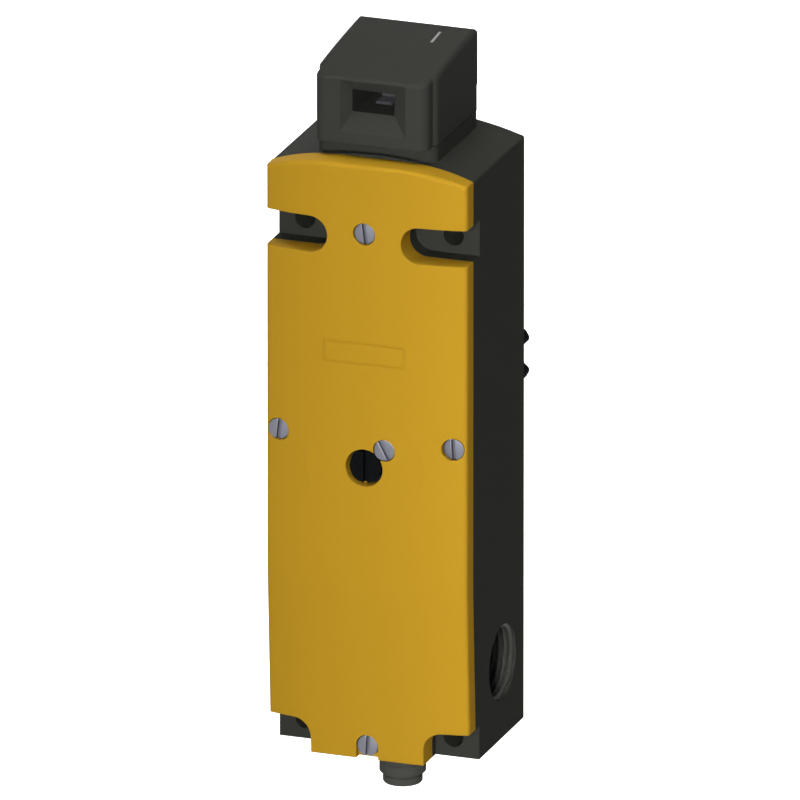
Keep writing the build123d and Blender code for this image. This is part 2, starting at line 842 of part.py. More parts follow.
# Lock slide: the wide end of its keyhole lets the collar through, the narrow end does not
with BuildPart() as lock_slide:
    with BuildSketch(Plane.XY.offset(at(lock_level))):
        with Locations((0, -(lock_rear_depth + lock_front_depth) / 2)):
            Rectangle(lock_width, lock_front_depth - lock_rear_depth)
        with Locations((0, -head_axis_depth)):
            Circle(collar_r + free, mode=Mode.SUBTRACT)
        with Locations((0, -head_axis_depth + lock_travel)):
            Circle(stem_r + free, mode=Mode.SUBTRACT)
        with Locations((0, -head_axis_depth + lock_travel / 2)):
            Rectangle(2 * (stem_r + free), lock_travel, mode=Mode.SUBTRACT)
    extrude(amount=lock_plate)
    with BuildSketch(Plane.YZ):
        with Locations((-pin_depth, at(lock_level + lock_plate / 2))):
            Circle(pin_r)
    extrude(amount=link_inner / 2 + link_strip, both=True)
lock_slide.part.label = "lock_slide"
export_step(lock_slide.part, "parts/lock_slide.step")

# Lock link: two cheeks with slanted slots, joined by a foot and a bridge over the release cam
bridge_level = release_level + release_lift + release_play
with BuildPart() as lock_link:
    with BuildSketch(Plane.YZ.offset(link_inner / 2)):
        with BuildLine():
            Polyline(
                (-link_front_depth, at(link_foot_level)),
                (-link_front_depth, at(bridge_level + link_strip)),
                (-link_slot_front, at(lock_level - link_strip)),
                (-link_slot_front, at(link_top_level)),
                (-link_slot_rear, at(link_top_level)),
                (-link_slot_rear, at(lock_level - link_strip)),
                (-link_rear_depth, at(release_level)),
                (-link_rear_depth, at(link_foot_level)),
                close=True,
            )
        make_face()
        with Locations(
            (-pin_depth - lock_travel / 2, at(lock_level + lock_plate / 2) + lock_travel / 2)
        ):
            SlotCenterToCenter(
                lock_travel * sqrt(2), 2 * (pin_r + screw_play), rotation=135, mode=Mode.SUBTRACT
            )
    extrude(amount=link_strip)
    mirror(about=Plane.YZ)
    for level, thickness in ((link_foot_level, link_foot), (bridge_level, link_strip)):
        with BuildSketch(Plane.XY.offset(at(level))):
            with Locations((0, -(link_front_depth + link_rear_depth) / 2)):
                Rectangle(link_inner + 2 * link_strip, link_front_depth - link_rear_depth)
        extrude(amount=thickness)
    with BuildSketch(Plane.XY.offset(at(link_foot_level))):
        with Locations((0, -head_axis_depth)):
            Circle(stud_r + running)
    extrude(amount=link_foot, mode=Mode.SUBTRACT)
lock_link.part.label = "lock_link"
export_step(lock_link.part, "parts/lock_link.step")

# Solenoid: strap frame, bobbin, coil, fixed core, armature with its stud, nut and spring
solenoid_rear_depth = head_axis_depth - solenoid_depth / 2
solenoid_top_level = solenoid_level + solenoid_height
strap_bottom = solenoid_level + solenoid_strap
strap_top = solenoid_top_level - solenoid_strap
lug_width = solenoid_strap + solenoid_lug
with BuildPart() as solenoid_frame:
    with BuildSketch(Plane.XZ.offset(solenoid_rear_depth)):
        with Locations((0, at(solenoid_level + solenoid_height / 2))):
            Rectangle(solenoid_width, solenoid_height)
            Rectangle(
                solenoid_width - 2 * solenoid_strap,
                solenoid_height - 2 * solenoid_strap,
                mode=Mode.SUBTRACT,
            )
    extrude(amount=solenoid_depth)
    with BuildSketch(Plane.XZ.offset(solenoid_rear_depth)):
        with Locations((0, at(solenoid_lug_level))):
            with GridLocations(solenoid_width + solenoid_lug - solenoid_strap, 0, 2, 1):
                Rectangle(lug_width, solenoid_lug_height)
            with GridLocations(solenoid_width + solenoid_lug, 0, 2, 1):
                Circle(screw_shank_r + screw_play, mode=Mode.SUBTRACT)
    extrude(amount=solenoid_strap)
    with BuildSketch(Plane.XY.offset(at(strap_top))):
        with Locations((0, -head_axis_depth)):
            Circle(armature_r + free)
    extrude(amount=solenoid_strap, mode=Mode.SUBTRACT)
    with BuildSketch(Plane.XY.offset(at(solenoid_level))):
        with Locations((0, -head_axis_depth)):
            Circle(rivet_r + running)
    extrude(amount=solenoid_strap, mode=Mode.SUBTRACT)
solenoid_frame.part.label = "solenoid_frame"
export_step(solenoid_frame.part, "parts/solenoid_frame.step")

with BuildPart() as solenoid_screws:
    with BuildSketch(Plane.XZ.offset(solenoid_rear_depth + solenoid_strap)):
        with Locations((0, at(solenoid_lug_level))):
            with GridLocations(solenoid_width + solenoid_lug, 0, 2, 1):
                Circle(small_head_r)
    extrude(amount=small_head)
    with BuildSketch(Plane.XZ.offset(solenoid_rear_depth + solenoid_strap)):
        with Locations((0, at(solenoid_lug_level))):
            with GridLocations(solenoid_width + solenoid_lug, 0, 2, 1):
                Circle(screw_shank_r - screw_play)
    extrude(amount=-small_screw)
solenoid_screws.part.label = "solenoid_screws"
export_step(solenoid_screws.part, "parts/solenoid_screws.step")

with BuildPart() as coil_bobbin:
    add(disc(bobbin_bore_r + bobbin_wall, strap_bottom, strap_top - strap_bottom, bobbin_bore_r).part)
    add(disc(bobbin_flange_r, strap_bottom, bobbin_flange, bobbin_bore_r).part)
    add(disc(bobbin_flange_r, strap_top - bobbin_flange, bobbin_flange, bobbin_bore_r).part)
coil_bobbin.part.label = "coil_bobbin"
export_step(coil_bobbin.part, "parts/coil_bobbin.step")

coil_winding = disc(
    coil_r,
    strap_bottom + bobbin_flange,
    strap_top - strap_bottom - 2 * bobbin_flange,
    bobbin_bore_r + bobbin_wall,
)
coil_winding.part.label = "coil_winding"
export_step(coil_winding.part, "parts/coil_winding.step")

with BuildPart() as solenoid_core:
    add(disc(bobbin_bore_r - running, strap_bottom, core_height).part)
    add(disc(rivet_r, solenoid_level - rivet_head, solenoid_strap + rivet_head).part)
solenoid_core.part.label = "solenoid_core"
export_step(solenoid_core.part, "parts/solenoid_core.step")

armature_bottom = strap_bottom + core_height + lock_travel + free
with BuildPart() as armature:
    add(disc(armature_r, armature_bottom, link_foot_level - armature_bottom).part)
    add(disc(stud_r, link_foot_level, link_foot + nut_height).part)
armature.part.label = "armature"
export_step(armature.part, "parts/armature.step")

with BuildPart() as armature_nut:
    with BuildSketch(Plane.XY.offset(at(link_foot_level + link_foot))):
        with Locations((0, -head_axis_depth)):
            RegularPolygon(nut_width / 2, 6, major_radius=False)
            Circle(stud_r + running, mode=Mode.SUBTRACT)
    extrude(amount=nut_height)
armature_nut.part.label = "armature_nut"
export_step(armature_nut.part, "parts/armature_nut.step")

armature_spring = coil_spring(
    solenoid_top_level, link_foot_level, armature_r + free + spring_wire_r, spring_wire_r, lock_spring_turns
)
armature_spring.part.label = "armature_spring"
export_step(armature_spring.part, "parts/armature_spring.step")

# Mechanism chassis: back plate, shelf with the guides of the lock slide, and the spring's seat
guide_half = lock_width / 2 + guide_play
shelf_height = lock_level - running - chassis_level
with BuildPart() as mechanism_chassis:
    with BuildSketch(Plane.XZ.offset(rear_wall)):
        with Locations((0, at((chassis_level + chassis_top_level) / 2))):
            Rectangle(chassis_width, chassis_top_level - chassis_level)
        with Locations(*chassis_screw_places):
            Circle(screw_shank_r + screw_play, mode=Mode.SUBTRACT)
    extrude(amount=chassis_plate)
    with BuildSketch(Plane.XY.offset(at(chassis_level))):
        with Locations((0, -rear_wall)):
            Rectangle(2 * shelf_half, block_front_depth - rear_wall, align=(Align.CENTER, Align.MAX))
        with Locations((0, -head_axis_depth)):
            Circle(passage_half, mode=Mode.SUBTRACT)
            Rectangle(
                2 * passage_half, block_front_depth, align=(Align.CENTER, Align.MAX), mode=Mode.SUBTRACT
            )
    extrude(amount=shelf_height)
    with BuildSketch(Plane.XZ.offset(guide_rear_depth)):
        with Locations((0, at(chassis_level))):
            Rectangle(2 * shelf_half, guide_top_level - chassis_level, align=(Align.CENTER, Align.MIN))
        with Locations((0, at(chassis_level))):
            Rectangle(
                2 * passage_half,
                guide_top_level - guide_roof - chassis_level,
                align=(Align.CENTER, Align.MIN),
                mode=Mode.SUBTRACT,
            )
        with Locations((0, at(lock_level + lock_plate / 2))):
            Rectangle(2 * guide_half, lock_plate + 2 * running, mode=Mode.SUBTRACT)
    extrude(amount=block_front_depth - guide_rear_depth)
    with BuildSketch(Plane.XY.offset(at(guide_top_level))):
        with Locations((0, -head_axis_depth)):
            Circle(stem_r + free)
    extrude(amount=-guide_roof, mode=Mode.SUBTRACT)
mechanism_chassis.part.label = "mechanism_chassis"
export_step(mechanism_chassis.part, "parts/mechanism_chassis.step")

with BuildPart() as chassis_screws:
    for side in (-1, 1):
        with BuildSketch(Plane.XZ.offset(rear_wall + chassis_plate)):
            with Locations((side * chassis_screw_x, at(chassis_screw_level))):
                Circle(small_head_r)
        extrude(amount=small_head)
        with BuildSketch(Plane.XZ.offset(rear_wall + chassis_plate)):
            with Locations((side * chassis_screw_x, at(chassis_screw_level))):
                Circle(screw_shank_r - screw_play)
        extrude(amount=-chassis_plate - rear_wall / 2)
chassis_screws.part.label = "chassis_screws"
export_step(chassis_screws.part, "parts/chassis_screws.step")

# Contact blocks left and right of the rod, each open to the front
block_rear_depth = rear_wall + chassis_plate
bridge_low = block_bottom_level + block_wall + contact_drop


def contact_block(side):
    """Moulded case of one pair of contacts."""
    with BuildPart() as block:
        with BuildSketch(Plane.XZ.offset(block_rear_depth)):
            with Locations((side * carrier_x, at((block_bottom_level + block_top_level) / 2))):
                Rectangle(block_outer - block_inner, block_top_level - block_bottom_level)
        extrude(amount=block_front_depth - block_rear_depth)
        with BuildSketch(Plane.XZ.offset(block_rear_depth + block_wall)):
            with Locations((side * carrier_x, at((block_bottom_level + block_top_level) / 2))):
                Rectangle(
                    block_outer - block_inner - 2 * block_wall,
                    block_top_level - block_bottom_level - 2 * block_wall,
                )
        extrude(amount=block_front_depth, mode=Mode.SUBTRACT)
        with BuildSketch(Plane.XY.offset(at(block_top_level))):
            with Locations((side * carrier_x, -head_axis_depth)):
                Circle(carrier_r + running)
        extrude(amount=-block_wall, mode=Mode.SUBTRACT)
    return block


contact_block_left = contact_block(-1)
contact_block_left.part.label = "contact_block_left"
export_step(contact_block_left.part, "parts/contact_block_left.step")
contact_block_right = contact_block(1)
contact_block_right.part.label = "contact_block_right"
export_step(contact_block_right.part, "parts/contact_block_right.step")

with BuildPart() as contact_carriers:
    with BuildSketch(Plane.XY.offset(at(bridge_low + bridge_thickness))):
        with Locations((-carrier_x, -head_axis_depth), (carrier_x, -head_axis_depth)):
            Circle(carrier_r)
    extrude(amount=rod_shoulder_level - pusher_height - bridge_low - bridge_thickness)
contact_carriers.part.label = "contact_carriers"
export_step(contact_carriers.part, "parts/contact_carriers.step")

with BuildPart() as contact_bridges:
    for side in (-1, 1):
        with BuildSketch(Plane.XY.offset(at(bridge_low))):
            with Locations((side * carrier_x, -head_axis_depth)):
                SlotOverall(bridge_length, contact_width, rotation=90)
        extrude(amount=bridge_thickness)
        with BuildSketch(Plane.XY.offset(at(bridge_low + bridge_thickness))):
            with Locations((side * carrier_x, -head_axis_depth)):
                with GridLocations(0, bridge_pitch, 1, 2):
                    Circle(contact_pad_r)
        extrude(amount=contact_pad)
contact_bridges.part.label = "contact_bridges"
export_step(contact_bridges.part, "parts/contact_bridges.step")

# Fixed contacts hang from the roof of each block, just above the bridge's highest place
fixed_pad_low = bridge_low + bridge_thickness + contact_pad + rod_travel + free
with BuildPart() as fixed_contacts:
    for side in (-1, 1):
        for row in (-1, 1):
            place = (side * carrier_x, -head_axis_depth + row * bridge_pitch / 2)
            with BuildSketch(Plane.XY.offset(at(fixed_pad_low + contact_pad))):
                with Locations(place):
                    Rectangle(contact_width, contact_width)
            extrude(amount=block_top_level - block_wall - fixed_pad_low - contact_pad)
            with BuildSketch(Plane.XY.offset(at(fixed_pad_low))):
                with Locations(place):
                    Circle(contact_pad_r)
            extrude(amount=contact_pad)
fixed_contacts.part.label = "fixed_contacts"
export_step(fixed_contacts.part, "parts/fixed_contacts.step")


def round_at_release(radius, front, rear, hole=0):
    """Round piece on the release axis between two depths, with an optional hole."""
    with BuildPart() as turned:
        with BuildSketch(Plane.XZ.offset(front)):
            with Locations((0, at(release_level))):
                Circle(radius)
                if hole:
                    Circle(hole, mode=Mode.SUBTRACT)
        extrude(amount=rear - front)
    return turned


knob_front = knob_rear - knob_thickness

# Release shaft: slotted button in the cover, flange behind it, and the shaft to the rear
with BuildPart() as release_shaft:
    add(round_at_release(release_button_r, release_face_depth, body_depth - free).part)
    add(round_at_release(release_flange_r, body_depth - free, body_depth - free - release_flange).part)
    add(round_at_release(shaft_r, body_depth - free - release_flange, -shaft_end).part)
    with BuildSketch(Plane.XZ.offset(release_face_depth)):
        with Locations((0, at(release_level))):
            Rectangle(release_slot, 3 * release_button_r)
    extrude(amount=-release_slot_depth, mode=Mode.SUBTRACT)
    with BuildSketch(Plane.YZ):
        with Locations((cross_pin_y, at(release_level))):
            Circle(cross_pin_r + running)
    extrude(amount=shaft_r, both=True, mode=Mode.SUBTRACT)
release_shaft.part.label = "release_shaft"
export_step(release_shaft.part, "parts/release_shaft.step")

with BuildPart() as release_cam:
    with BuildSketch(Plane.XZ.offset(head_axis_depth - release_cam_width / 2)):
        with Locations((0, at(release_level))):
            Circle(release_hub_r)
        with Locations((0, at(release_level + release_lift - release_nose_r))):
            Circle(release_nose_r)
        make_hull()
        with Locations((0, at(release_level))):
            Circle(shaft_r + running, mode=Mode.SUBTRACT)
    extrude(amount=release_cam_width)
release_cam.part.label = "release_cam"
export_step(release_cam.part, "parts/release_cam.step")

shaft_bush = round_at_release(bush_r, bush_front_depth, bush_rear_depth, shaft_r + running)
shaft_bush.part.label = "shaft_bush"
export_step(shaft_bush.part, "parts/shaft_bush.step")
shaft_seal = round_at_release(bush_r - running, bush_rear_depth, seal_rear_depth, shaft_r + running)
shaft_seal.part.label = "shaft_seal"
export_step(shaft_seal.part, "parts/shaft_seal.step")
button_seal = round_at_release(
    release_hole_r - running, button_seal_depth, body_depth + free, release_button_r + running
)
button_seal.part.label = "button_seal"
export_step(button_seal.part, "parts/button_seal.step")

# Sleeve that carries the release through the machine's frame, its cross pin, knob and screw
with BuildPart() as release_sleeve:
    add(round_at_release(sleeve_r, -sleeve_start, -knob_front).part)
    add(round_at_release(shaft_r, -knob_front, -knob_rear + knob_web).part)
    add(
        round_at_release(shaft_r + running, -sleeve_start, -shaft_end - free).part,
        mode=Mode.SUBTRACT,
    )
    add(
        round_at_release(screw_shank_r, -knob_rear, -knob_rear + knob_screw_length).part,
        mode=Mode.SUBTRACT,
    )
    with BuildSketch(Plane.YZ):
        with Locations((cross_pin_y, at(release_level))):
            Circle(cross_pin_r + running)
    extrude(amount=sleeve_r, both=True, mode=Mode.SUBTRACT)
release_sleeve.part.label = "release_sleeve"
export_step(release_sleeve.part, "parts/release_sleeve.step")

with BuildPart() as cross_pin:
    with BuildSketch(Plane.YZ):
        with Locations((cross_pin_y, at(release_level))):
            Circle(cross_pin_r)
    extrude(amount=sleeve_r - running, both=True)
cross_pin.part.label = "cross_pin"
export_step(cross_pin.part, "parts/cross_pin.step")

with BuildPart() as release_knob:
    with BuildSketch(Plane.XZ.offset(-knob_rear)):
        with Locations((0, at(release_level))):
            Circle(knob_r)
            with PolarLocations(knob_scallop_ring, knob_scallops):
                Circle(knob_scallop_r, mode=Mode.SUBTRACT)
    extrude(amount=knob_thickness)
    rims = release_knob.faces().filter_by(Axis.Y)
    chamfer(rims.sort_by(Axis.Y)[-1].edges() + rims.sort_by(Axis.Y)[0].edges(), length=knob_edge)
    add(
        round_at_release(shaft_r + running, -knob_front, -knob_rear + knob_web).part,
        mode=Mode.SUBTRACT,
    )
    add(
        round_at_release(screw_shank_r + screw_play, -knob_front, -knob_rear).part,
        mode=Mode.SUBTRACT,
    )
    add(
        round_at_release(small_head_r + screw_play, -knob_rear + small_head, -knob_rear).part,
        mode=Mode.SUBTRACT,
    )
release_knob.part.label = "release_knob"
export_step(release_knob.part, "parts/release_knob.step")

with BuildPart() as knob_screw:
    add(round_at_release(small_head_r, -knob_rear, small_head - knob_rear).part)
    shank_r = screw_shank_r - running
    add(round_at_release(shank_r, small_head - knob_rear, knob_screw_length - knob_rear).part)
    with BuildSketch(Plane.XZ.offset(-knob_rear)):
        with Locations((0, at(release_level))):
            Rectangle(screw_slot, 3 * small_head_r)
    extrude(amount=small_head / 2, mode=Mode.SUBTRACT)
knob_screw.part.label = "knob_screw"
export_step(knob_screw.part, "parts/knob_screw.step")


def on_connector(radius, bottom, top, hole=0):
    """Round piece on the connector's axis between two levels, with an optional hole."""
    with BuildPart() as turned:
        with BuildSketch(Plane.XY.offset(at(bottom))):
            with Locations((0, -entry_depth)):
                Circle(radius)
                if hole:
                    Circle(hole, mode=Mode.SUBTRACT)
        extrude(amount=top - bottom)
    return turned


# Connector screwed into the underside, with its seal, insert and pins
hex_low = -connector_seal - connector_hex_thickness
connector_lip_level = connector_thread_level - connector_groove
with BuildPart() as connector_body:
    add(on_connector(entry_r - screw_play, -connector_seal, floor_level).part)
    with BuildSketch(Plane.XY.offset(at(hex_low))):
        with Locations((0, -entry_depth)):
            RegularPolygon(connector_hex / 2, 6, major_radius=False, rotation=30)
    extrude(amount=connector_hex_thickness)
    add(on_connector(connector_thread_r, connector_thread_level, hex_low).part)
    add(on_connector(connector_groove_r, connector_lip_level, connector_thread_level).part)
    add(on_connector(connector_tip_r, connector_tip_level, connector_lip_level).part)
    add(on_connector(connector_socket_r, connector_tip_level, floor_level).part, mode=Mode.SUBTRACT)
connector_body.part.label = "connector_body"
export_step(connector_body.part, "parts/connector_body.step")

connector_washer = on_connector(connector_hex / 2, -connector_seal, 0, entry_r)
connector_washer.part.label = "connector_washer"
export_step(connector_washer.part, "parts/connector_washer.step")

with BuildPart() as connector_pins:
    with BuildSketch(Plane.XY.offset(at(contact_pin_tip_level))):
        with Locations((0, -entry_depth)):
            Circle(contact_pin_r)
            with PolarLocations(contact_pin_circle, contact_pins):
                Circle(contact_pin_r)
    extrude(amount=contact_pin_top_level - contact_pin_tip_level)
connector_pins.part.label = "connector_pins"
export_step(connector_pins.part, "parts/connector_pins.step")

with BuildPart() as connector_insert:
    add(on_connector(connector_socket_r - running, connector_insert_level, floor_level).part)
    add(connector_pins.part, mode=Mode.SUBTRACT)
connector_insert.part.label = "connector_insert"
export_step(connector_insert.part, "parts/connector_insert.step")

# Terminal block on the floor of the housing, and its clamping screws
terminal_middle_level = floor_level + terminal_height / 2
with BuildPart() as terminal_block:
    with BuildSketch(Plane.XZ.offset(terminal_rear_depth)):
        with Locations((0, at(terminal_middle_level))):
            Rectangle(terminal_cells * terminal_pitch, terminal_height)
    extrude(amount=terminal_front_depth - terminal_rear_depth)
    with BuildSketch(Plane.XZ.offset(terminal_front_depth)):
        with Locations((0, at(terminal_middle_level))):
            with GridLocations(terminal_pitch, 0, terminal_cells, 1):
                Circle(terminal_pitch / 2 - terminal_wall)
    extrude(amount=-terminal_well, mode=Mode.SUBTRACT)
    with BuildSketch(Plane.XY.offset(at(floor_level + terminal_height))):
        with Locations((0, -(terminal_rear_depth + terminal_wall + terminal_wire_r))):
            with GridLocations(terminal_pitch, 0, terminal_cells, 1):
                Circle(terminal_wire_r)
    extrude(amount=-terminal_height / 2, mode=Mode.SUBTRACT)
terminal_block.part.label = "terminal_block"
export_step(terminal_block.part, "parts/terminal_block.step")

with BuildPart() as terminal_screws:
    with BuildSketch(Plane.XZ.offset(terminal_front_depth - terminal_well)):
        with Locations((0, at(terminal_middle_level))):
            with GridLocations(terminal_pitch, 0, terminal_cells, 1):
                Circle(terminal_screw_r - running)
    extrude(amount=terminal_well / 2)
    with BuildSketch(Plane.XZ.offset(terminal_front_depth - 3 * terminal_well / 4)):
        with Locations((0, at(terminal_middle_level))):
            Rectangle(terminal_cells * terminal_pitch, screw_slot)
    extrude(amount=terminal_well / 2, mode=Mode.SUBTRACT)
terminal_screws.part.label = "terminal_screws"
export_step(terminal_screws.part, "parts/terminal_screws.step")
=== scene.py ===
# %% [markdown]
# # Safety interlock switch
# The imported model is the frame: every shell, screw and lever already stands where it belongs, in
# metres. This lesson dresses it. It gives each piece the finish of its real material and adds what
# is too fine for the solids, such as threads, broken edges and the mark on the head.

import math

import bmesh
import bpy
from mathutils import Euler, Matrix, Vector


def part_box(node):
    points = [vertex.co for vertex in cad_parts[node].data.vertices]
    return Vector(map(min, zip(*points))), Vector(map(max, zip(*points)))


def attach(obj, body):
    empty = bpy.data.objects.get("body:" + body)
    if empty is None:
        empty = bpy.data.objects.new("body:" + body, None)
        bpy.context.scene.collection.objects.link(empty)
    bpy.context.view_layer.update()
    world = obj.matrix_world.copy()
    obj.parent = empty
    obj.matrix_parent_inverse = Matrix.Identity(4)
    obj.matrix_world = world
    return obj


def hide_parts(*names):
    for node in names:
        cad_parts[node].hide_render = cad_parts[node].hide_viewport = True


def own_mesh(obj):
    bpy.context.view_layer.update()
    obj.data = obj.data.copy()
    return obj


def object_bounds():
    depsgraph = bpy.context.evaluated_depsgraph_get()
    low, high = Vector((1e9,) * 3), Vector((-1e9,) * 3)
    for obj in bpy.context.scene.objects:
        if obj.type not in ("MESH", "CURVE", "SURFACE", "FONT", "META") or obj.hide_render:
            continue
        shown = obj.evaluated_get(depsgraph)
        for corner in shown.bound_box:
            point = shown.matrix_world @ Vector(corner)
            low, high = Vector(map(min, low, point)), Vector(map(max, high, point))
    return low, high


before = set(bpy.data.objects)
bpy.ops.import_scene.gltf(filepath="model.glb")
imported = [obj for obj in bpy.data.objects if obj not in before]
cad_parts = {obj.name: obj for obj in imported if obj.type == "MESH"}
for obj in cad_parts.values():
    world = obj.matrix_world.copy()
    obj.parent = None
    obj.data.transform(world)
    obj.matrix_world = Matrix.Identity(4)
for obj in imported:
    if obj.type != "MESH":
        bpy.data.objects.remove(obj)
cad_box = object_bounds()
print("solids reach from", cad_box[0], "to", cad_box[1])

# %% [markdown]
# ## Levels and depths
# A level is a height above the underside of the housing, a depth is a distance in front of the
# mounting face. Both are easier to check with a calliper than coordinates are, so one small
# function turns them into metres.

# %% Levels and depths
MM = 0.001
UNDERSIDE = -72.75


def place(x, depth, level):
    """Point in metres from a distance to the right, a depth and a level in millimetres."""
    return Vector((x, -depth, level + UNDERSIDE)) * MM


# %% [markdown]
# ## Camera
# The photograph has no vanishing lines: verticals and the long edges run parallel. A very long
# lens far away gives that flat look, and keeps the switch as large as it is there. The picture's
# width is what it spans at the switch, in metres, and the lens follows from it.

# %% Camera
scene = bpy.context.scene
AIM = place(0, 18.1, 88.6)
VIEW_TURN = math.radians(19.86)
VIEW_RISE = math.radians(19.45)
CAMERA_AWAY = 9.4
CAMERA_REACH = 50
PICTURE_WIDTH = 0.20325
SENSOR_WIDTH = 36

camera_data = bpy.data.cameras.new("long_lens")
camera_data.sensor_width = SENSOR_WIDTH
camera_data.lens = SENSOR_WIDTH * CAMERA_AWAY / PICTURE_WIDTH
camera_data.clip_end = CAMERA_REACH
camera = bpy.data.objects.new("camera", camera_data)
scene.collection.objects.link(camera)
camera.rotation_euler = Euler((math.pi / 2 - VIEW_RISE, 0, VIEW_TURN))
camera.location = AIM + camera.rotation_euler.to_matrix() @ Vector((0, 0, CAMERA_AWAY))
scene.camera = camera
print("camera stands at", tuple(round(c, 3) for c in camera.location))

# %% [markdown]
# ## Colours and nodes
# Colours are written as they look on a screen, in hex. Shaders want linear light, so one function
# turns them. Another adds a node, links it and sets it, which keeps each material to a few lines.

# %% Colour and node helpers
WHITE = (1.0, 1.0, 1.0, 1.0)


def colour(hex_code):
    """Linear colour with alpha from a screen colour such as 'b98f24'."""
    screen = [int(hex_code[i : i + 2], 16) / 255 for i in (0, 2, 4)]
    return tuple(c / 12.92 if c <= 0.04045 else ((c + 0.055) / 1.055) ** 2.4 for c in screen) + (1.0,)


def add_node(tree, kind, links=None, settings=None, **values):
    """Adds a node: links feed its sockets, settings are its properties, values its socket values."""
    node = tree.nodes.new(kind)
    for name, value in (settings or {}).items():
        setattr(node, name, value)
    for name, value in values.items():
        node.inputs[name.replace("_", " ")].default_value = value
    for socket, source in (links or {}).items():
        tree.links.new(source, node.inputs[socket])
    return node


def new_material(name):
    """Makes an empty material, and gives it with the tree to fill."""
    material = bpy.data.materials.new(name)
    material.use_nodes = True
    material.node_tree.nodes.clear()
    return material, material.node_tree


# %% [markdown]
# ## World
# The photograph has a white ground and a switch with a dark right side. One light can't be both,
# so the world is white only where the camera, a mirror or glass sees it. The light that it throws
# on the switch is much weaker.

# %% World
WORLD_LIGHT = 0.045


def seen_directly(tree):
    """1 for rays from the camera, in mirrors and through glass, 0 for light that falls on things."""
    path = add_node(tree, "ShaderNodeLightPath")
    seen = path.outputs["Is Camera Ray"]
    for ray in ("Is Glossy Ray", "Is Transmission Ray"):
        both = {0: seen, 1: path.outputs[ray]}
        seen = add_node(tree, "ShaderNodeMath", both, {"operation": "MAXIMUM"}).outputs[0]
    return seen


world = bpy.data.worlds.new("studio")
scene.world = world
world.use_nodes = True
tree = world.node_tree
tree.nodes.clear()
level = add_node(tree, "ShaderNodeMapRange", {"Value": seen_directly(tree)}, To_Min=WORLD_LIGHT, To_Max=1.0)
backdrop = add_node(tree, "ShaderNodeBackground", {"Strength": level.outputs["Result"]}, Color=WHITE)
add_node(tree, "ShaderNodeOutputWorld", {"Surface": backdrop.outputs[0]})
print("the world throws", WORLD_LIGHT, "of the light that the camera sees in it")

# %% [markdown]
# ## Floor
# The switch hangs on its mounting holes, so the floor lies well below it and takes no hard shadow.
# It is painted pale, and glows white in the same three kinds of ray as the world.

# %% Floor
FLOOR_BELOW = 0.35
FLOOR_HALF = 20

floor_material, tree = new_material("white painted studio floor")
floor_paint = add_node(tree, "ShaderNodeBsdfDiffuse", Color=colour("dcdcdc"))
floor_glow = add_node(tree, "ShaderNodeEmission", {"Strength": seen_directly(tree)})
floor_sum = add_node(tree, "ShaderNodeAddShader", {0: floor_paint.outputs[0], 1: floor_glow.outputs[0]})
add_node(tree, "ShaderNodeOutputMaterial", {"Surface": floor_sum.outputs[0]})
floor_mesh = bpy.data.meshes.new("floor")
bm = bmesh.new()
bmesh.ops.create_grid(bm, x_segments=1, y_segments=1, size=FLOOR_HALF)
bmesh.ops.translate(bm, verts=bm.verts, vec=(0, 0, cad_box[0][2] - FLOOR_BELOW))
bm.to_mesh(floor_mesh)
bm.free()
floor_mesh.materials.append(floor_material)
floor = bpy.data.objects.new("floor", floor_mesh)
scene.collection.objects.link(floor)
print("floor at", round(floor_mesh.vertices[0].co.z, 3))

# %% [markdown]
# ## Lamps
# Three square lamps: one in front, low enough to shine into the side slots, one overhead for the
# tops, and one behind on the left for the back. In the photograph the cover grows lighter from
# left to right. So the front lamp has a narrow beam, and it stands to the right of its line to the
# switch: the middle of the beam passes beside the switch, and its soft edge fades over the cover.

# %% Lamps
LAMP_AWAY = 2.0


def soft_lamp(name, turn, rise, size, watts, beam=180, beside=0.0):
    """Square lamp from a direction in degrees, with its beam's width and its aim beside the switch."""
    data = bpy.data.lights.new(name, "AREA")
    data.size = size
    data.energy = watts
    data.spread = math.radians(beam)
    lamp = bpy.data.objects.new(name, data)
    scene.collection.objects.link(lamp)
    lamp.rotation_euler = Euler((math.pi / 2 - math.radians(rise), 0, math.radians(turn)))
    lamp.location = AIM + lamp.rotation_euler.to_matrix() @ Vector((beside, 0, LAMP_AWAY))


soft_lamp("front_lamp", turn=10, rise=15, size=0.6, watts=2.15, beam=18, beside=0.3)
soft_lamp("top_lamp", turn=0, rise=82, size=0.8, watts=19)
soft_lamp("rear_lamp", turn=-145, rise=12, size=0.9, watts=24)
scene.view_settings.view_transform = "Standard"
print(len(bpy.data.lights), "lamps")

# %% [markdown]
# ## How moulded plastic is made up
# A tool etched by sparks leaves a fine even grain that scatters light. A noise bump of a few tenths
# of a millimetre makes it. A slow noise of a few centimetres varies colour and gloss a little, as
# handling does. A mould never leaves a knife edge, so a bevel node rounds the shading at each edge.

# %% Moulded plastic
EDGE_ROUND = 0.35
EDGE_SAMPLES = 6
CLOUD_MM = 35.7
GRAIN_STRENGTH = 0.35
GLOSS_RANGE = 0.06
PLASTIC_IOR = 1.53
# The mix node's colour sockets come after those for numbers and vectors, under the same names.
MIX_A = 6
MIX_B = 7
MIX_RESULT = 2


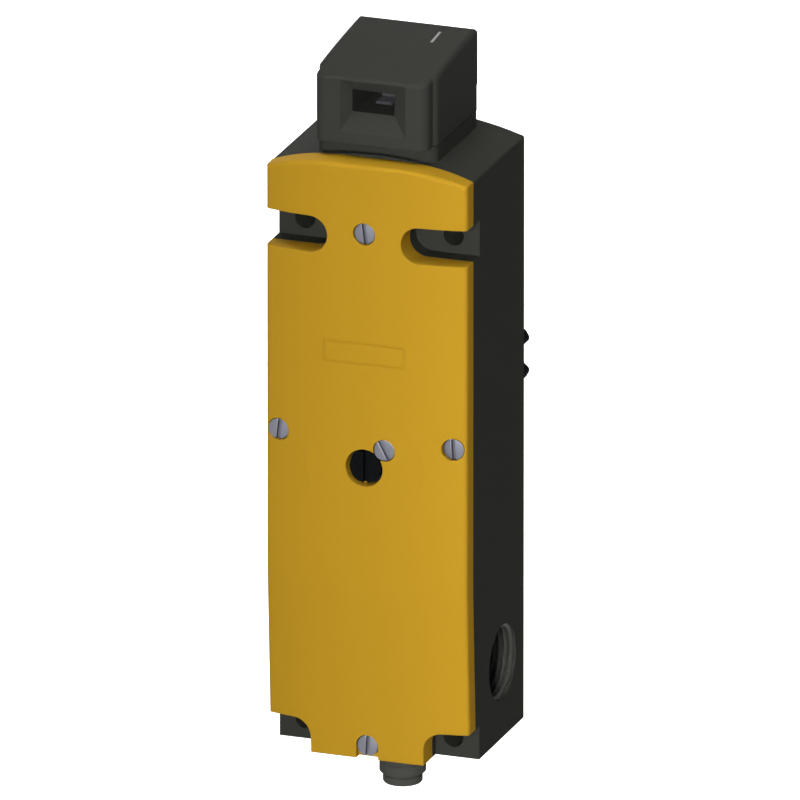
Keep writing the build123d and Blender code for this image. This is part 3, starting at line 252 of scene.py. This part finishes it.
def moulded_plastic(name, base, roughness, specular, grain_mm, depth_mm, mottle=0.03):
    """Moulded plastic with a spark-eroded grain of a given size and depth."""
    material, tree = new_material(name)
    spot = {"Vector": add_node(tree, "ShaderNodeTexCoord").outputs["Object"]}
    grain = add_node(tree, "ShaderNodeTexNoise", spot, Scale=1 / (grain_mm * MM), Detail=3.0, Roughness=0.6)
    cloud = add_node(tree, "ShaderNodeTexNoise", spot, Scale=1 / (CLOUD_MM * MM), Detail=2.0, Roughness=0.5)
    edge = add_node(tree, "ShaderNodeBevel", None, {"samples": EDGE_SAMPLES}, Radius=EDGE_ROUND * MM)
    relief = {"Height": grain.outputs["Fac"], "Normal": edge.outputs["Normal"]}
    bump = add_node(tree, "ShaderNodeBump", relief, Strength=GRAIN_STRENGTH, Distance=depth_mm * MM)
    patchy = {"Factor": cloud.outputs["Fac"]}
    tint = add_node(tree, "ShaderNodeMix", patchy, {"data_type": "RGBA"})
    tint.inputs[MIX_A].default_value = tuple(c * (1 - 2 * mottle) for c in base[:3]) + (1.0,)
    tint.inputs[MIX_B].default_value = tuple(c * (1 + 2 * mottle) for c in base[:3]) + (1.0,)
    gloss = add_node(
        tree,
        "ShaderNodeMapRange",
        {"Value": cloud.outputs["Fac"]},
        To_Min=roughness - GLOSS_RANGE,
        To_Max=roughness + GLOSS_RANGE,
    )
    skin = add_node(
        tree,
        "ShaderNodeBsdfPrincipled",
        {
            "Base Color": tint.outputs[MIX_RESULT],
            "Roughness": gloss.outputs["Result"],
            "Normal": bump.outputs["Normal"],
        },
        IOR=PLASTIC_IOR,
        Specular_IOR_Level=specular,
    )
    add_node(tree, "ShaderNodeOutputMaterial", {"Surface": skin.outputs[0]})
    return material


# %% [markdown]
# ## The plastics that make the outside
# Housing and head are glass-filled polyamide, dark grey. The cover is polyamide coloured through
# in ochre yellow. The button and the knob are black. A white ground would show in any gloss, so
# all of them reflect very little.

# %% Outer plastics
# Glass fibre at the surface makes it dull all over, with hardly a highlight.
housing_skin = moulded_plastic(
    "glass-filled polyamide, moulded",
    colour("383935"),
    roughness=0.85,
    specular=0.01,
    grain_mm=0.35,
    depth_mm=0.02,
)
# The same plastic from a smoother tool: a shade lighter, with softer but clearer edges.
head_skin = moulded_plastic(
    "glass-filled polyamide, moulded, head",
    colour("3c3c39"),
    roughness=0.8,
    specular=0.012,
    grain_mm=0.35,
    depth_mm=0.02,
)
# An even warm yellow: the colour goes through the plastic, so it hardly varies.
cover_skin = moulded_plastic(
    "polyamide, moulded, ochre yellow",
    colour("b98f24"),
    roughness=0.8,
    specular=0.02,
    grain_mm=0.4,
    depth_mm=0.02,
    mottle=0.008,
)
# Black with a finer grain, so only the outline of the button and the knob is read.
black_skin = moulded_plastic(
    "polyamide, moulded, black",
    colour("111214"),
    roughness=0.7,
    specular=0.01,
    grain_mm=0.3,
    depth_mm=0.02,
)
print(len(bpy.data.materials), "materials with those of the frame and the floor")

# %% [markdown]
# ## The small outer plastics
# Threads, the connector's shell and the light line on the head each have a surface of their own.

# %% Threads, connector and head line
# A thread's tool is polished, so its flanks have a little real gloss. Their grey is painted lighter than
# the housing's, as painted light in the dark of the entry.
lightened_thread_skin = moulded_plastic(
    "glass-filled polyamide thread, painted lighter",
    colour("454642"),
    roughness=0.45,
    specular=0.07,
    grain_mm=0.3,
    depth_mm=0.005,
)
# Plain polyamide without glass: lighter and a little smoother than the housing above it.
connector_skin = moulded_plastic(
    "polyamide, moulded, connector shell",
    colour("4b4b47"),
    roughness=0.75,
    specular=0.02,
    grain_mm=0.3,
    depth_mm=0.01,
)
# The line on the head is thin and matt, a light grey rather than white.
crown_line_skin = moulded_plastic(
    "light grey line on the head",
    colour("a2a29d"),
    roughness=0.6,
    specular=0.05,
    grain_mm=0.3,
    depth_mm=0.005,
)
print(len(bpy.data.materials), "materials")

# %% [markdown]
# ## The plastics and the rubber inside
# Nothing of these shows in the photograph. Guides and bobbins are usually bare acetal, contact
# blocks brown phenolic and terminals green polyamide, and seals are black rubber.

# %% Inner plastics and rubber
# Acetal is slippery to the touch and has a soft wax-like shine.
natural_skin = moulded_plastic(
    "acetal, moulded, natural white",
    colour("d6d2c6"),
    roughness=0.4,
    specular=0.4,
    grain_mm=0.5,
    depth_mm=0.01,
)
# Phenolic is hard and comes out of its tool with a low gloss.
brown_skin = moulded_plastic(
    "phenolic, moulded, brown",
    colour("5b2f22"),
    roughness=0.45,
    specular=0.4,
    grain_mm=0.5,
    depth_mm=0.01,
)
# The green of terminals, with the same low gloss.
green_skin = moulded_plastic(
    "polyamide, moulded, green",
    colour("2f5f4c"),
    roughness=0.45,
    specular=0.4,
    grain_mm=0.5,
    depth_mm=0.01,
)
# Rubber takes light in and gives back a broad dim sheen.
rubber_skin = moulded_plastic(
    "nitrile rubber, moulded",
    colour("161616"),
    roughness=0.75,
    specular=0.2,
    grain_mm=0.2,
    depth_mm=0.02,
)
print(len(bpy.data.materials), "materials")

# %% [markdown]
# ## How worked metal is made up
# A tool or a roll leaves parallel lines, which break up a reflection. A wave pattern makes them,
# and a noise breaks the gloss into slightly duller patches of about 2 mm. Real tool marks are far
# finer than a pixel, so these are drawn 2 to 3 mm apart, as coarse as they need to be to show.

# %% Worked metal
# The wave node goes through 20 radians for each unit of its scaled position.
WAVE_RADIANS = 20
PATCH_MM = 2.22
PATCH_RANGE = 0.08
LINE_STRENGTH = 0.25
LINE_WANDER = 1.5


def worked_metal(name, base, roughness, spacing_mm, depth_mm, direction="Z"):
    """Metal with tool or rolling lines at a given spacing along an axis."""
    material, tree = new_material(name)
    spot = {"Vector": add_node(tree, "ShaderNodeTexCoord").outputs["Object"]}
    lines = add_node(
        tree,
        "ShaderNodeTexWave",
        spot,
        {"bands_direction": direction},
        Scale=math.tau / WAVE_RADIANS / (spacing_mm * MM),
        Distortion=LINE_WANDER,
        Detail=2.0,
    )
    height = {"Height": lines.outputs["Fac"]}
    bump = add_node(tree, "ShaderNodeBump", height, Strength=LINE_STRENGTH, Distance=depth_mm * MM)
    cloud = add_node(tree, "ShaderNodeTexNoise", spot, Scale=1 / (PATCH_MM * MM), Detail=3.0, Roughness=0.6)
    gloss = add_node(
        tree,
        "ShaderNodeMapRange",
        {"Value": cloud.outputs["Fac"]},
        To_Min=roughness - PATCH_RANGE,
        To_Max=roughness + PATCH_RANGE,
    )
    metal = add_node(
        tree,
        "ShaderNodeBsdfPrincipled",
        {"Roughness": gloss.outputs["Result"], "Normal": bump.outputs["Normal"]},
        Base_Color=base,
        Metallic=1.0,
    )
    add_node(tree, "ShaderNodeOutputMaterial", {"Surface": metal.outputs[0]})
    return material


# %% [markdown]
# ## The metals
# Only the screws, the release sleeve and the cam can be seen from outside. The others are in the
# dark, but each still gets the finish of its metal, because the pieces are also used one by one.

# %% Metals
# Zinc on steel is a soft bluish grey.
zinc = worked_metal("steel, zinc-plated", colour("74757e"), 0.42, 1.885, 0.005)
# Rolled sheet is brighter, with its lines along the roll.
sheet_steel = worked_metal(
    "sheet steel, rolled and zinc-plated", colour("b4b5b8"), 0.38, 2.513, 0.004, "X"
)
# Turned stainless steel is a warm grey, with a narrow highlight that runs along a pin.
turned_steel = worked_metal("stainless steel, turned", colour("8b8a87"), 0.34, 1.885, 0.003)
# Sintered steel is porous, so it looks almost like stone. Its grey is painted lighter than blackened steel,
# as painted light in the shaded throat of the head.
lightened_cam_steel = worked_metal("sintered steel, grey painted lighter than blackened", colour("66666a"), 0.9, 3.142, 0.006)
# Drawn wire is smooth and bright.
spring_steel = worked_metal("spring wire, drawn", colour("9a9a9c"), 0.3, 1.885, 0.003)
# Brass is yellow in the reflection itself.
brass = worked_metal("brass, pressed", colour("c9a25a"), 0.3, 1.885, 0.003)
# The bands stand for turns of enamelled wire, which give the coil a ribbed red shine.
copper = worked_metal("copper wire, enamelled and wound", colour("a5552f"), 0.3, 3.142, 0.08)
print(len(bpy.data.materials), "materials")

# %% [markdown]
# ## Who wears what
# Each solid of the frame takes one finish in place of the plain colour it came with.

# %% Dress the frame
finishes = {
    housing_skin: ("housing",),
    connector_skin: ("connector_body",),
    head_skin: ("head_body", "head_carrier"),
    cover_skin: ("cover",),
    rubber_skin: ("cover_gasket", "shaft_seal", "button_seal", "connector_washer"),
    zinc: (
        "cover_screws",
        "release_seal_screw",
        "solenoid_screws",
        "chassis_screws",
        "armature_nut",
        "knob_screw",
        "terminal_screws",
    ),
    sheet_steel: ("head_clip", "lock_slide", "lock_link", "solenoid_frame"),
    turned_steel: (
        "cam_axle",
        "head_plunger",
        "transmission_rod",
        "lock_collar",
        "solenoid_core",
        "armature",
        "release_cam",
        "release_sleeve",
        "cross_pin",
    ),
    lightened_cam_steel: ("cam_wheel",),
    spring_steel: ("rod_spring", "armature_spring"),
    natural_skin: ("contact_pusher", "contact_carriers", "coil_bobbin", "mechanism_chassis"),
    brown_skin: ("contact_block_left", "contact_block_right"),
    brass: ("contact_bridges", "fixed_contacts", "shaft_bush", "connector_pins"),
    copper: ("coil_winding",),
    black_skin: ("release_shaft", "release_knob", "connector_insert"),
    green_skin: ("terminal_block",),
}
dressed = set()
for material, names in finishes.items():
    for name in names:
        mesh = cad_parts[name].data
        mesh.materials.clear()
        mesh.materials.append(material)
        dressed.add(name)
print(len(dressed), "solids dressed, bare:", sorted(set(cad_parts) - dressed))

# %% [markdown]
# ## Tools for the small pieces
# The rest is too fine for the solids: slots, threads, round wire and a mark. Most pieces start as
# a plain shape at the origin, with its axis upright. A matrix then turns and carries the whole
# mesh to its seat, so the object itself stays at the origin like the solids.

# %% Mesh helpers
SHARP_ABOVE = math.radians(35)
JOIN_WITHIN = 1e-6


def soften(bm, edges, radius_mm, segments=3):
    """Rounds edges by a radius in millimetres."""
    bmesh.ops.bevel(
        bm,
        geom=edges,
        offset=radius_mm * MM,
        offset_type="OFFSET",
        segments=segments,
        profile=0.5,
        affect="EDGES",
        clamp_overlap=True,
        material=-1,
    )


def spun_outline(outline, steps):
    """Spins a closed outline of radii and levels in millimetres once round an upright axis."""
    bm = bmesh.new()
    ring = [bm.verts.new((radius * MM, 0, level * MM)) for radius, level in outline]
    edges = [bm.edges.new((ring[i - 1], ring[i])) for i in range(len(ring))]
    bmesh.ops.spin(
        bm,
        geom=ring + edges,
        cent=(0, 0, 0),
        axis=(0, 0, 1),
        angle=math.tau,
        steps=steps,
        use_merge=True,
        use_duplicate=False,
    )
    bmesh.ops.remove_doubles(bm, verts=bm.verts, dist=JOIN_WITHIN)
    return bm


def add_part(bm, part, carry):
    """Carries a finished part to its seat, adds it to a larger mesh and frees it."""
    bmesh.ops.transform(part, matrix=carry, verts=part.verts)
    loose = bpy.data.meshes.new("loose")
    part.to_mesh(loose)
    part.free()
    bm.from_mesh(loose)
    bpy.data.meshes.remove(loose)


def new_piece(name, bm, material, body, replaced=()):
    """Makes a finished mesh an object that rides on a body and takes a finish."""
    bmesh.ops.recalc_face_normals(bm, faces=bm.faces)
    mesh = bpy.data.meshes.new(name)
    bm.to_mesh(mesh)
    bm.free()
    mesh.materials.append(material)
    mesh.shade_smooth()
    mesh.set_sharp_from_angle(angle=SHARP_ABOVE)
    piece = bpy.data.objects.new(name, mesh)
    scene.collection.objects.link(piece)
    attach(piece, body)
    if replaced:
        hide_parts(*replaced)
    print(name, "has", len(mesh.polygons), "faces")
    return piece


# %% [markdown]
# ## Places on the solids
# A small piece must sit on the solid that carries it. A ray that is shot at the solid from outside
# finds its surface, so the place is measured on the model and never typed twice.

# %% Seats and directions
OUTSIDE = 300


def facing(direction):
    """Turn that lays an upright axis along a direction."""
    return Vector((0, 0, 1)).rotation_difference(Vector(direction)).to_matrix().to_4x4()


def surface_point(node, start, direction):
    """Point in metres where a ray first meets a solid."""
    hit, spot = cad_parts[node].ray_cast(start, Vector(direction))[:2]
    assert hit, (node, start)
    return spot


# %% [markdown]
# ## Slotted screws
# Cheese-head screws are turned, slotted with a saw and then plated, so rim and slot have softly
# broken edges. A short cylinder is cut in three across its top. The two outer fields are raised,
# and the strip that stays low between them is the slot.

# %% Slotted screw
SCREW_HEAD_R = 2.85
SCREW_HEAD = 2.0
SCREW_SLOT = 0.8
SCREW_EDGE = 0.22
SHANK_R = 1.5


def cylinder(radius, height, sides):
    """Upright cylinder in millimetres, round the origin."""
    bm = bmesh.new()
    bmesh.ops.create_cone(
        bm,
        cap_ends=True,
        segments=sides,
        radius1=radius * MM,
        radius2=radius * MM,
        depth=height * MM,
    )
    return bm


def slotted_head():
    """Screw head with a sawn slot, whose top face lies on the ground plane."""
    bm = cylinder(SCREW_HEAD_R, SCREW_HEAD / 2, 56)
    for side in (-1, 1):
        bmesh.ops.bisect_plane(
            bm,
            geom=bm.verts[:] + bm.edges[:] + bm.faces[:],
            plane_co=(side * SCREW_SLOT / 2 * MM, 0, 0),
            plane_no=(1, 0, 0),
            dist=1e-7,
        )
    lands = [
        face
        for face in bm.faces
        if face.normal.z > 0.9 and abs(face.calc_center_median().x) > SCREW_SLOT / 2 * MM
    ]
    raised = bmesh.ops.extrude_face_region(bm, geom=lands)["geom"]
    bmesh.ops.delete(bm, geom=[face for face in lands if face.is_valid], context="FACES_ONLY")
    tops = [item for item in raised if isinstance(item, bmesh.types.BMVert)]
    bmesh.ops.translate(bm, verts=tops, vec=(0, 0, SCREW_HEAD / 2 * MM))
    top_z = max(vert.co.z for vert in bm.verts)
    upper = [edge for edge in bm.edges if min(vert.co.z for vert in edge.verts) > top_z - JOIN_WITHIN]
    soften(bm, [edge for edge in upper if edge.calc_face_angle(0) > SHARP_ABOVE], SCREW_EDGE)
    bmesh.ops.translate(bm, verts=bm.verts, vec=(0, 0, -top_z))
    return bm


def add_screw(bm, node, x, level, shank_length, slot_turn):
    """Adds a screw as deep as the solid's, with its slot turned by some degrees."""
    front = surface_point(node, place(x + SCREW_HEAD_R / 2, OUTSIDE, level), (0, 1, 0))
    seat = Matrix.Translation(place(x, -front.y / MM, level)) @ facing((0, -1, 0))
    carry = seat @ Matrix.Rotation(math.radians(slot_turn), 4, "Z")
    add_part(bm, slotted_head(), carry)
    shank_middle = -(SCREW_HEAD + shank_length / 2) * MM
    add_part(bm, cylinder(SHANK_R, shank_length, 24), carry @ Matrix.Translation((0, 0, shank_middle)))


# %% [markdown]
# ## The screws in the cover
# Four screws hold the cover: one above, one below and one at each side. Nobody lines up slots, so
# each is turned a little differently. A shorter one seals the release beside its button.

# %% Cover and seal screws
COVER_SCREWS = ((0, 141.9, 8), (-23.5, 86.5, -6), (23.5, 86.5, 4), (0, 3.5, -3))
COVER_SHANK = 11.0
SEAL_SCREW = (5.3, 84.4, 30)
SEAL_SHANK = 4.0

bm = bmesh.new()
for x, level, slot_turn in COVER_SCREWS:
    add_screw(bm, "cover_screws", x, level, COVER_SHANK, slot_turn)
new_piece("cover_screw_set", bm, zinc, "switch_body", ("cover_screws",))

bm = bmesh.new()
x, level, slot_turn = SEAL_SCREW
add_screw(bm, "release_seal_screw", x, level, SEAL_SHANK, slot_turn)
new_piece("release_seal_screw_head", bm, zinc, "switch_body", ("release_seal_screw",))

# %% [markdown]
# ## Threads
# A thread is one ridge that climbs round its hole. Its section is a flat-topped triangle, and a
# spin with a small climb at each step winds it. The ridge's foot is sunk a little into the wall,
# so no gap shows. The two side entries are M20 with a pitch of 1.5 mm.

# %% Threads of the side entries
STEPS_PER_TURN = 40
FOOT_SHARE = 0.42
CREST_SHARE = 0.1
SUNK = 0.02


def thread_ridge(name, root_r, crest_r, pitch, turns, carry, material):
    """Winds one ridge from a root radius to a crest radius, in millimetres, round an axis."""
    bm = bmesh.new()
    foot = FOOT_SHARE * pitch
    crest = CREST_SHARE * pitch
    section = [(root_r, -foot), (root_r, foot), (crest_r, crest), (crest_r, -crest)]
    corners = [bm.verts.new((radius * MM, 0, height * MM)) for radius, height in section]
    face = bm.faces.new(corners)
    bmesh.ops.spin(
        bm,
        geom=corners + list(face.edges) + [face],
        cent=(0, 0, 0),
        axis=(0, 0, 1),
        dvec=(0, 0, pitch / STEPS_PER_TURN * MM),
        angle=math.tau * turns,
        steps=STEPS_PER_TURN * turns,
        use_merge=False,
        use_duplicate=False,
    )
    bmesh.ops.transform(bm, matrix=carry, verts=bm.verts)
    new_piece(name, bm, material, "switch_body")


BODY_HALF = 27.0
ENTRY_DEPTH = 16.0
ENTRY_LEVEL = 20.4
ENTRY_R = 10.0
ENTRY_CREST_R = 9.15
ENTRY_PITCH = 1.5
ENTRY_TURNS = 5
FIRST_RIDGE_IN = 0.9
for side, name in ((-1, "left_entry_thread"), (1, "right_entry_thread")):
    start = place(side * (BODY_HALF - FIRST_RIDGE_IN), ENTRY_DEPTH, ENTRY_LEVEL)
    thread_ridge(
        name,
        ENTRY_R + SUNK,
        ENTRY_CREST_R,
        ENTRY_PITCH,
        ENTRY_TURNS,
        Matrix.Translation(start) @ facing((-side, 0, 0)),
        lightened_thread_skin,
    )

# %% [markdown]
# ## Connector
# The round connector is a moulded shell: a hexagon for the spanner, a threaded neck, a smooth
# collar, a groove and a lip round the socket. The round part is one closed outline spun about
# the axis. The hexagon is a six-sided cylinder with all its edges broken. The neck's thread is
# M12 with a pitch of 1 mm.

# %% Outline of the connector
SOCKET_R = 4.4
BASE_R = 9.9
BASE_TOP = 12.0
BASE_LEVEL = -0.8
NECK_R = 5.5
COLLAR_R = 6.0
COLLAR_LEVEL = -9.6
COLLAR_END = -12.2
GROOVE_R = 4.8
LIP_R = 5.1
LIP_LEVEL = -13.0
TIP_LEVEL = -14.9
CHAMFER = 0.35

connector_outline = [
    (SOCKET_R, BASE_TOP),
    (BASE_R, BASE_TOP),
    (BASE_R, BASE_LEVEL),
    (NECK_R, BASE_LEVEL),
    (NECK_R, COLLAR_LEVEL + 0.5),
    (COLLAR_R, COLLAR_LEVEL),
    (COLLAR_R, COLLAR_END + CHAMFER),
    (COLLAR_R - CHAMFER, COLLAR_END),
    (GROOVE_R + 0.1, COLLAR_END - 0.05),
    (GROOVE_R, COLLAR_END - 0.3),
    (GROOVE_R, LIP_LEVEL + 0.1),
    (LIP_R, LIP_LEVEL),
    (LIP_R, TIP_LEVEL + CHAMFER),
    (LIP_R - 0.25, TIP_LEVEL),
    (SOCKET_R + 0.15, TIP_LEVEL),
    (SOCKET_R, TIP_LEVEL + 0.2),
]
print("connector reaches from level", TIP_LEVEL, "to", BASE_TOP)

# %% Connector
HEX_CORNER_R = 12.7
HEX_HEIGHT = 3.5
HEX_LOW = -4.3
HEX_EDGE = 0.4
NECK_THREAD_LEVEL = -9.0
NECK_PITCH = 1.0
NECK_TURNS = 4

bm = spun_outline(connector_outline, 72)
hexagon = cylinder(HEX_CORNER_R, HEX_HEIGHT, 6)
soften(hexagon, hexagon.edges[:], HEX_EDGE)
lift = Matrix.Translation((0, 0, (HEX_LOW + HEX_HEIGHT / 2) * MM))
add_part(bm, hexagon, lift @ Matrix.Rotation(math.radians(30), 4, "Z"))
bmesh.ops.translate(bm, verts=bm.verts, vec=place(0, ENTRY_DEPTH, 0))
new_piece("connector_shell", bm, connector_skin, "switch_body", ("connector_body",))
thread_ridge(
    "connector_thread_ridge",
    NECK_R - SUNK,
    COLLAR_R,
    NECK_PITCH,
    NECK_TURNS,
    Matrix.Translation(place(0, ENTRY_DEPTH, NECK_THREAD_LEVEL)),
    connector_skin,
)

# %% [markdown]
# ## Outline of the star knob
# The knob behind the housing must lie well in a hand, so its lobes are rounded. Its outline is
# made of three arcs that touch: the knob's own circle, the round of a lobe's corner and the
# scallop between two lobes. Two sides and the angle of a triangle give the corner's centre.

# %% Knob outline
KNOB_R = 11.1
KNOB_LOBES = 6
SCALLOP_RING = 12.0
SCALLOP_R = 4.2
CORNER_R = 1.2

corner_ring = KNOB_R - CORNER_R
touching = SCALLOP_R + CORNER_R
corner_turn = math.acos(
    (SCALLOP_RING**2 + corner_ring**2 - touching**2) / (2 * SCALLOP_RING * corner_ring)
)
corner_centre = Vector((math.cos(corner_turn), math.sin(corner_turn))) * corner_ring
scallop_centre = Vector((SCALLOP_RING, 0))
meeting = scallop_centre.lerp(corner_centre, SCALLOP_R / touching)
meeting_turn = math.atan2(meeting.y, meeting.x)


def arc_reach(ring, radius, turn, side):
    """Distance at which a ray from the axis crosses an arc's circle, near (-1) or far (1)."""
    return ring * math.cos(turn) + side * math.sqrt(radius**2 - (ring * math.sin(turn)) ** 2)


def knob_reach(angle):
    """Radius in millimetres of the knob's outline at an angle."""
    half = math.pi / KNOB_LOBES
    turn = abs((angle + half) % (2 * half) - half)
    if turn < meeting_turn:
        return arc_reach(SCALLOP_RING, SCALLOP_R, turn, -1)
    if turn < corner_turn:
        return arc_reach(corner_ring, CORNER_R, turn - corner_turn, 1)
    return KNOB_R


print("scallops reach in to", round(knob_reach(0), 2), "mm")

# %% [markdown]
# ## Star knob
# A section of rim, bore and screw seat is spun about the axis, which gives a plain round knob. The
# points of its rim are then drawn in to the outline, and the flat faces stay flat.

# %% Star knob
KNOB_LEVEL = 79.2
KNOB_FRONT = 44.0
KNOB_THICKNESS = 8.0
KNOB_STEPS = 360
RIM_R = 0.6
SHAFT_HOLE_R = 3.05
SCREW_SEAT_R = 2.5
SCREW_HOLE_R = 1.6
SEAT_LEVEL = 6.4
WEB_LEVEL = 4.8

rim = [
    (KNOB_R - RIM_R * (1 - math.sin(turn)), RIM_R * (1 - math.cos(turn)))
    for turn in (0, math.pi / 6, math.pi / 3, math.pi / 2)
]
knob_section = [
    (SHAFT_HOLE_R, 0),
    *rim,
    *[(radius, KNOB_THICKNESS - level) for radius, level in reversed(rim)],
    (SCREW_SEAT_R, KNOB_THICKNESS),
    (SCREW_SEAT_R, SEAT_LEVEL),
    (SCREW_HOLE_R, SEAT_LEVEL),
    (SCREW_HOLE_R, WEB_LEVEL),
    (SHAFT_HOLE_R, WEB_LEVEL),
]
bm = spun_outline(knob_section, KNOB_STEPS)
for vert in bm.verts:
    radius = math.hypot(vert.co.x, vert.co.y) / MM
    if radius > KNOB_R - 2 * RIM_R:
        drawn_in = KNOB_R - knob_reach(math.atan2(vert.co.y, vert.co.x))
        vert.co.xy *= (radius - drawn_in) / radius
carry = Matrix.Translation(place(0, -KNOB_FRONT, KNOB_LEVEL)) @ facing((0, 1, 0))
bmesh.ops.transform(bm, matrix=carry, verts=bm.verts)
new_piece("rounded_knob", bm, black_skin, "release", ("release_knob",))

# %% [markdown]
# ## Springs
# Both springs are wound from round wire. A disc of the wire's section is spun up a helix between the ends
# of the solid that it stands for. The rod's spring is pressed against its upper end as the rod rises, and
# the lock's spring against its lower end as the armature goes down. Here each spring only gets a mesh of
# its own.

# %% Springs
WIRE_R = 0.4
WIRE_SIDES = 10
COIL_STEPS = 28
ROD_TURNS = 6
LOCK_TURNS = 4
AXIS_DEPTH = 20.15


def wind_spring(name, node, turns):
    """Winds a round-wire spring in the place of a solid, round the axis of the rod."""
    low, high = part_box(node)
    mean_r = (high[0] - low[0]) / 2 - WIRE_R * MM
    climb = high[2] - low[2] - 2 * WIRE_R * MM
    bm = bmesh.new()
    bmesh.ops.create_circle(bm, cap_ends=True, segments=WIRE_SIDES, radius=WIRE_R * MM)
    bmesh.ops.rotate(bm, verts=bm.verts, cent=(0, 0, 0), matrix=Matrix.Rotation(math.pi / 2, 3, "X"))
    bmesh.ops.translate(bm, verts=bm.verts, vec=(mean_r, 0, 0))
    bmesh.ops.spin(
        bm,
        geom=bm.verts[:] + bm.edges[:] + bm.faces[:],
        cent=(0, 0, 0),
        axis=(0, 0, 1),
        dvec=(0, 0, climb / (COIL_STEPS * turns)),
        angle=math.tau * turns,
        steps=COIL_STEPS * turns,
        use_merge=False,
        use_duplicate=False,
    )
    base = Vector((0, place(0, AXIS_DEPTH, 0).y, low[2] + WIRE_R * MM))
    bmesh.ops.translate(bm, verts=bm.verts, vec=base)
    return new_piece(name, bm, spring_steel, "switch_body", (node,))


def press_spring(piece):
    """Gives a spring a mesh of its own, without flattening it."""
    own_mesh(piece)


rod_wire = wind_spring("rod_spring_wire", "rod_spring", ROD_TURNS)
press_spring(rod_wire)
lock_wire = wind_spring("lock_spring_wire", "armature_spring", LOCK_TURNS)
press_spring(lock_wire)

# %% [markdown]
# ## Mark on the head
# A short light-grey line lies on the crown. It is a thin bar that lies on the sloping crown: its two ends
# are dropped onto the solid, which gives its place and slope.

# %% Mark on the head
MARK_X = 7.8
MARK_REAR = 9.6
MARK_FRONT = 16.2
MARK_WIDTH = 0.7
MARK_HEIGHT = 0.3
MARK_EDGE = 0.1

rear_end, front_end = (
    surface_point("head_body", place(MARK_X, depth, OUTSIDE), (0, 0, -1))
    for depth in (MARK_REAR, MARK_FRONT)
)
along = rear_end - front_end
bm = bmesh.new()
bmesh.ops.create_cube(bm, size=1.0)
bmesh.ops.scale(bm, verts=bm.verts, vec=(MARK_WIDTH * MM, along.length, MARK_HEIGHT * MM))
soften(bm, bm.edges[:], MARK_EDGE, segments=2)
slope = Matrix.Rotation(math.atan2(along.z, along.y), 4, "X")
bmesh.ops.transform(bm, matrix=Matrix.Translation((rear_end + front_end) / 2) @ slope, verts=bm.verts)
new_piece("head_mark", bm, crown_line_skin, "head")
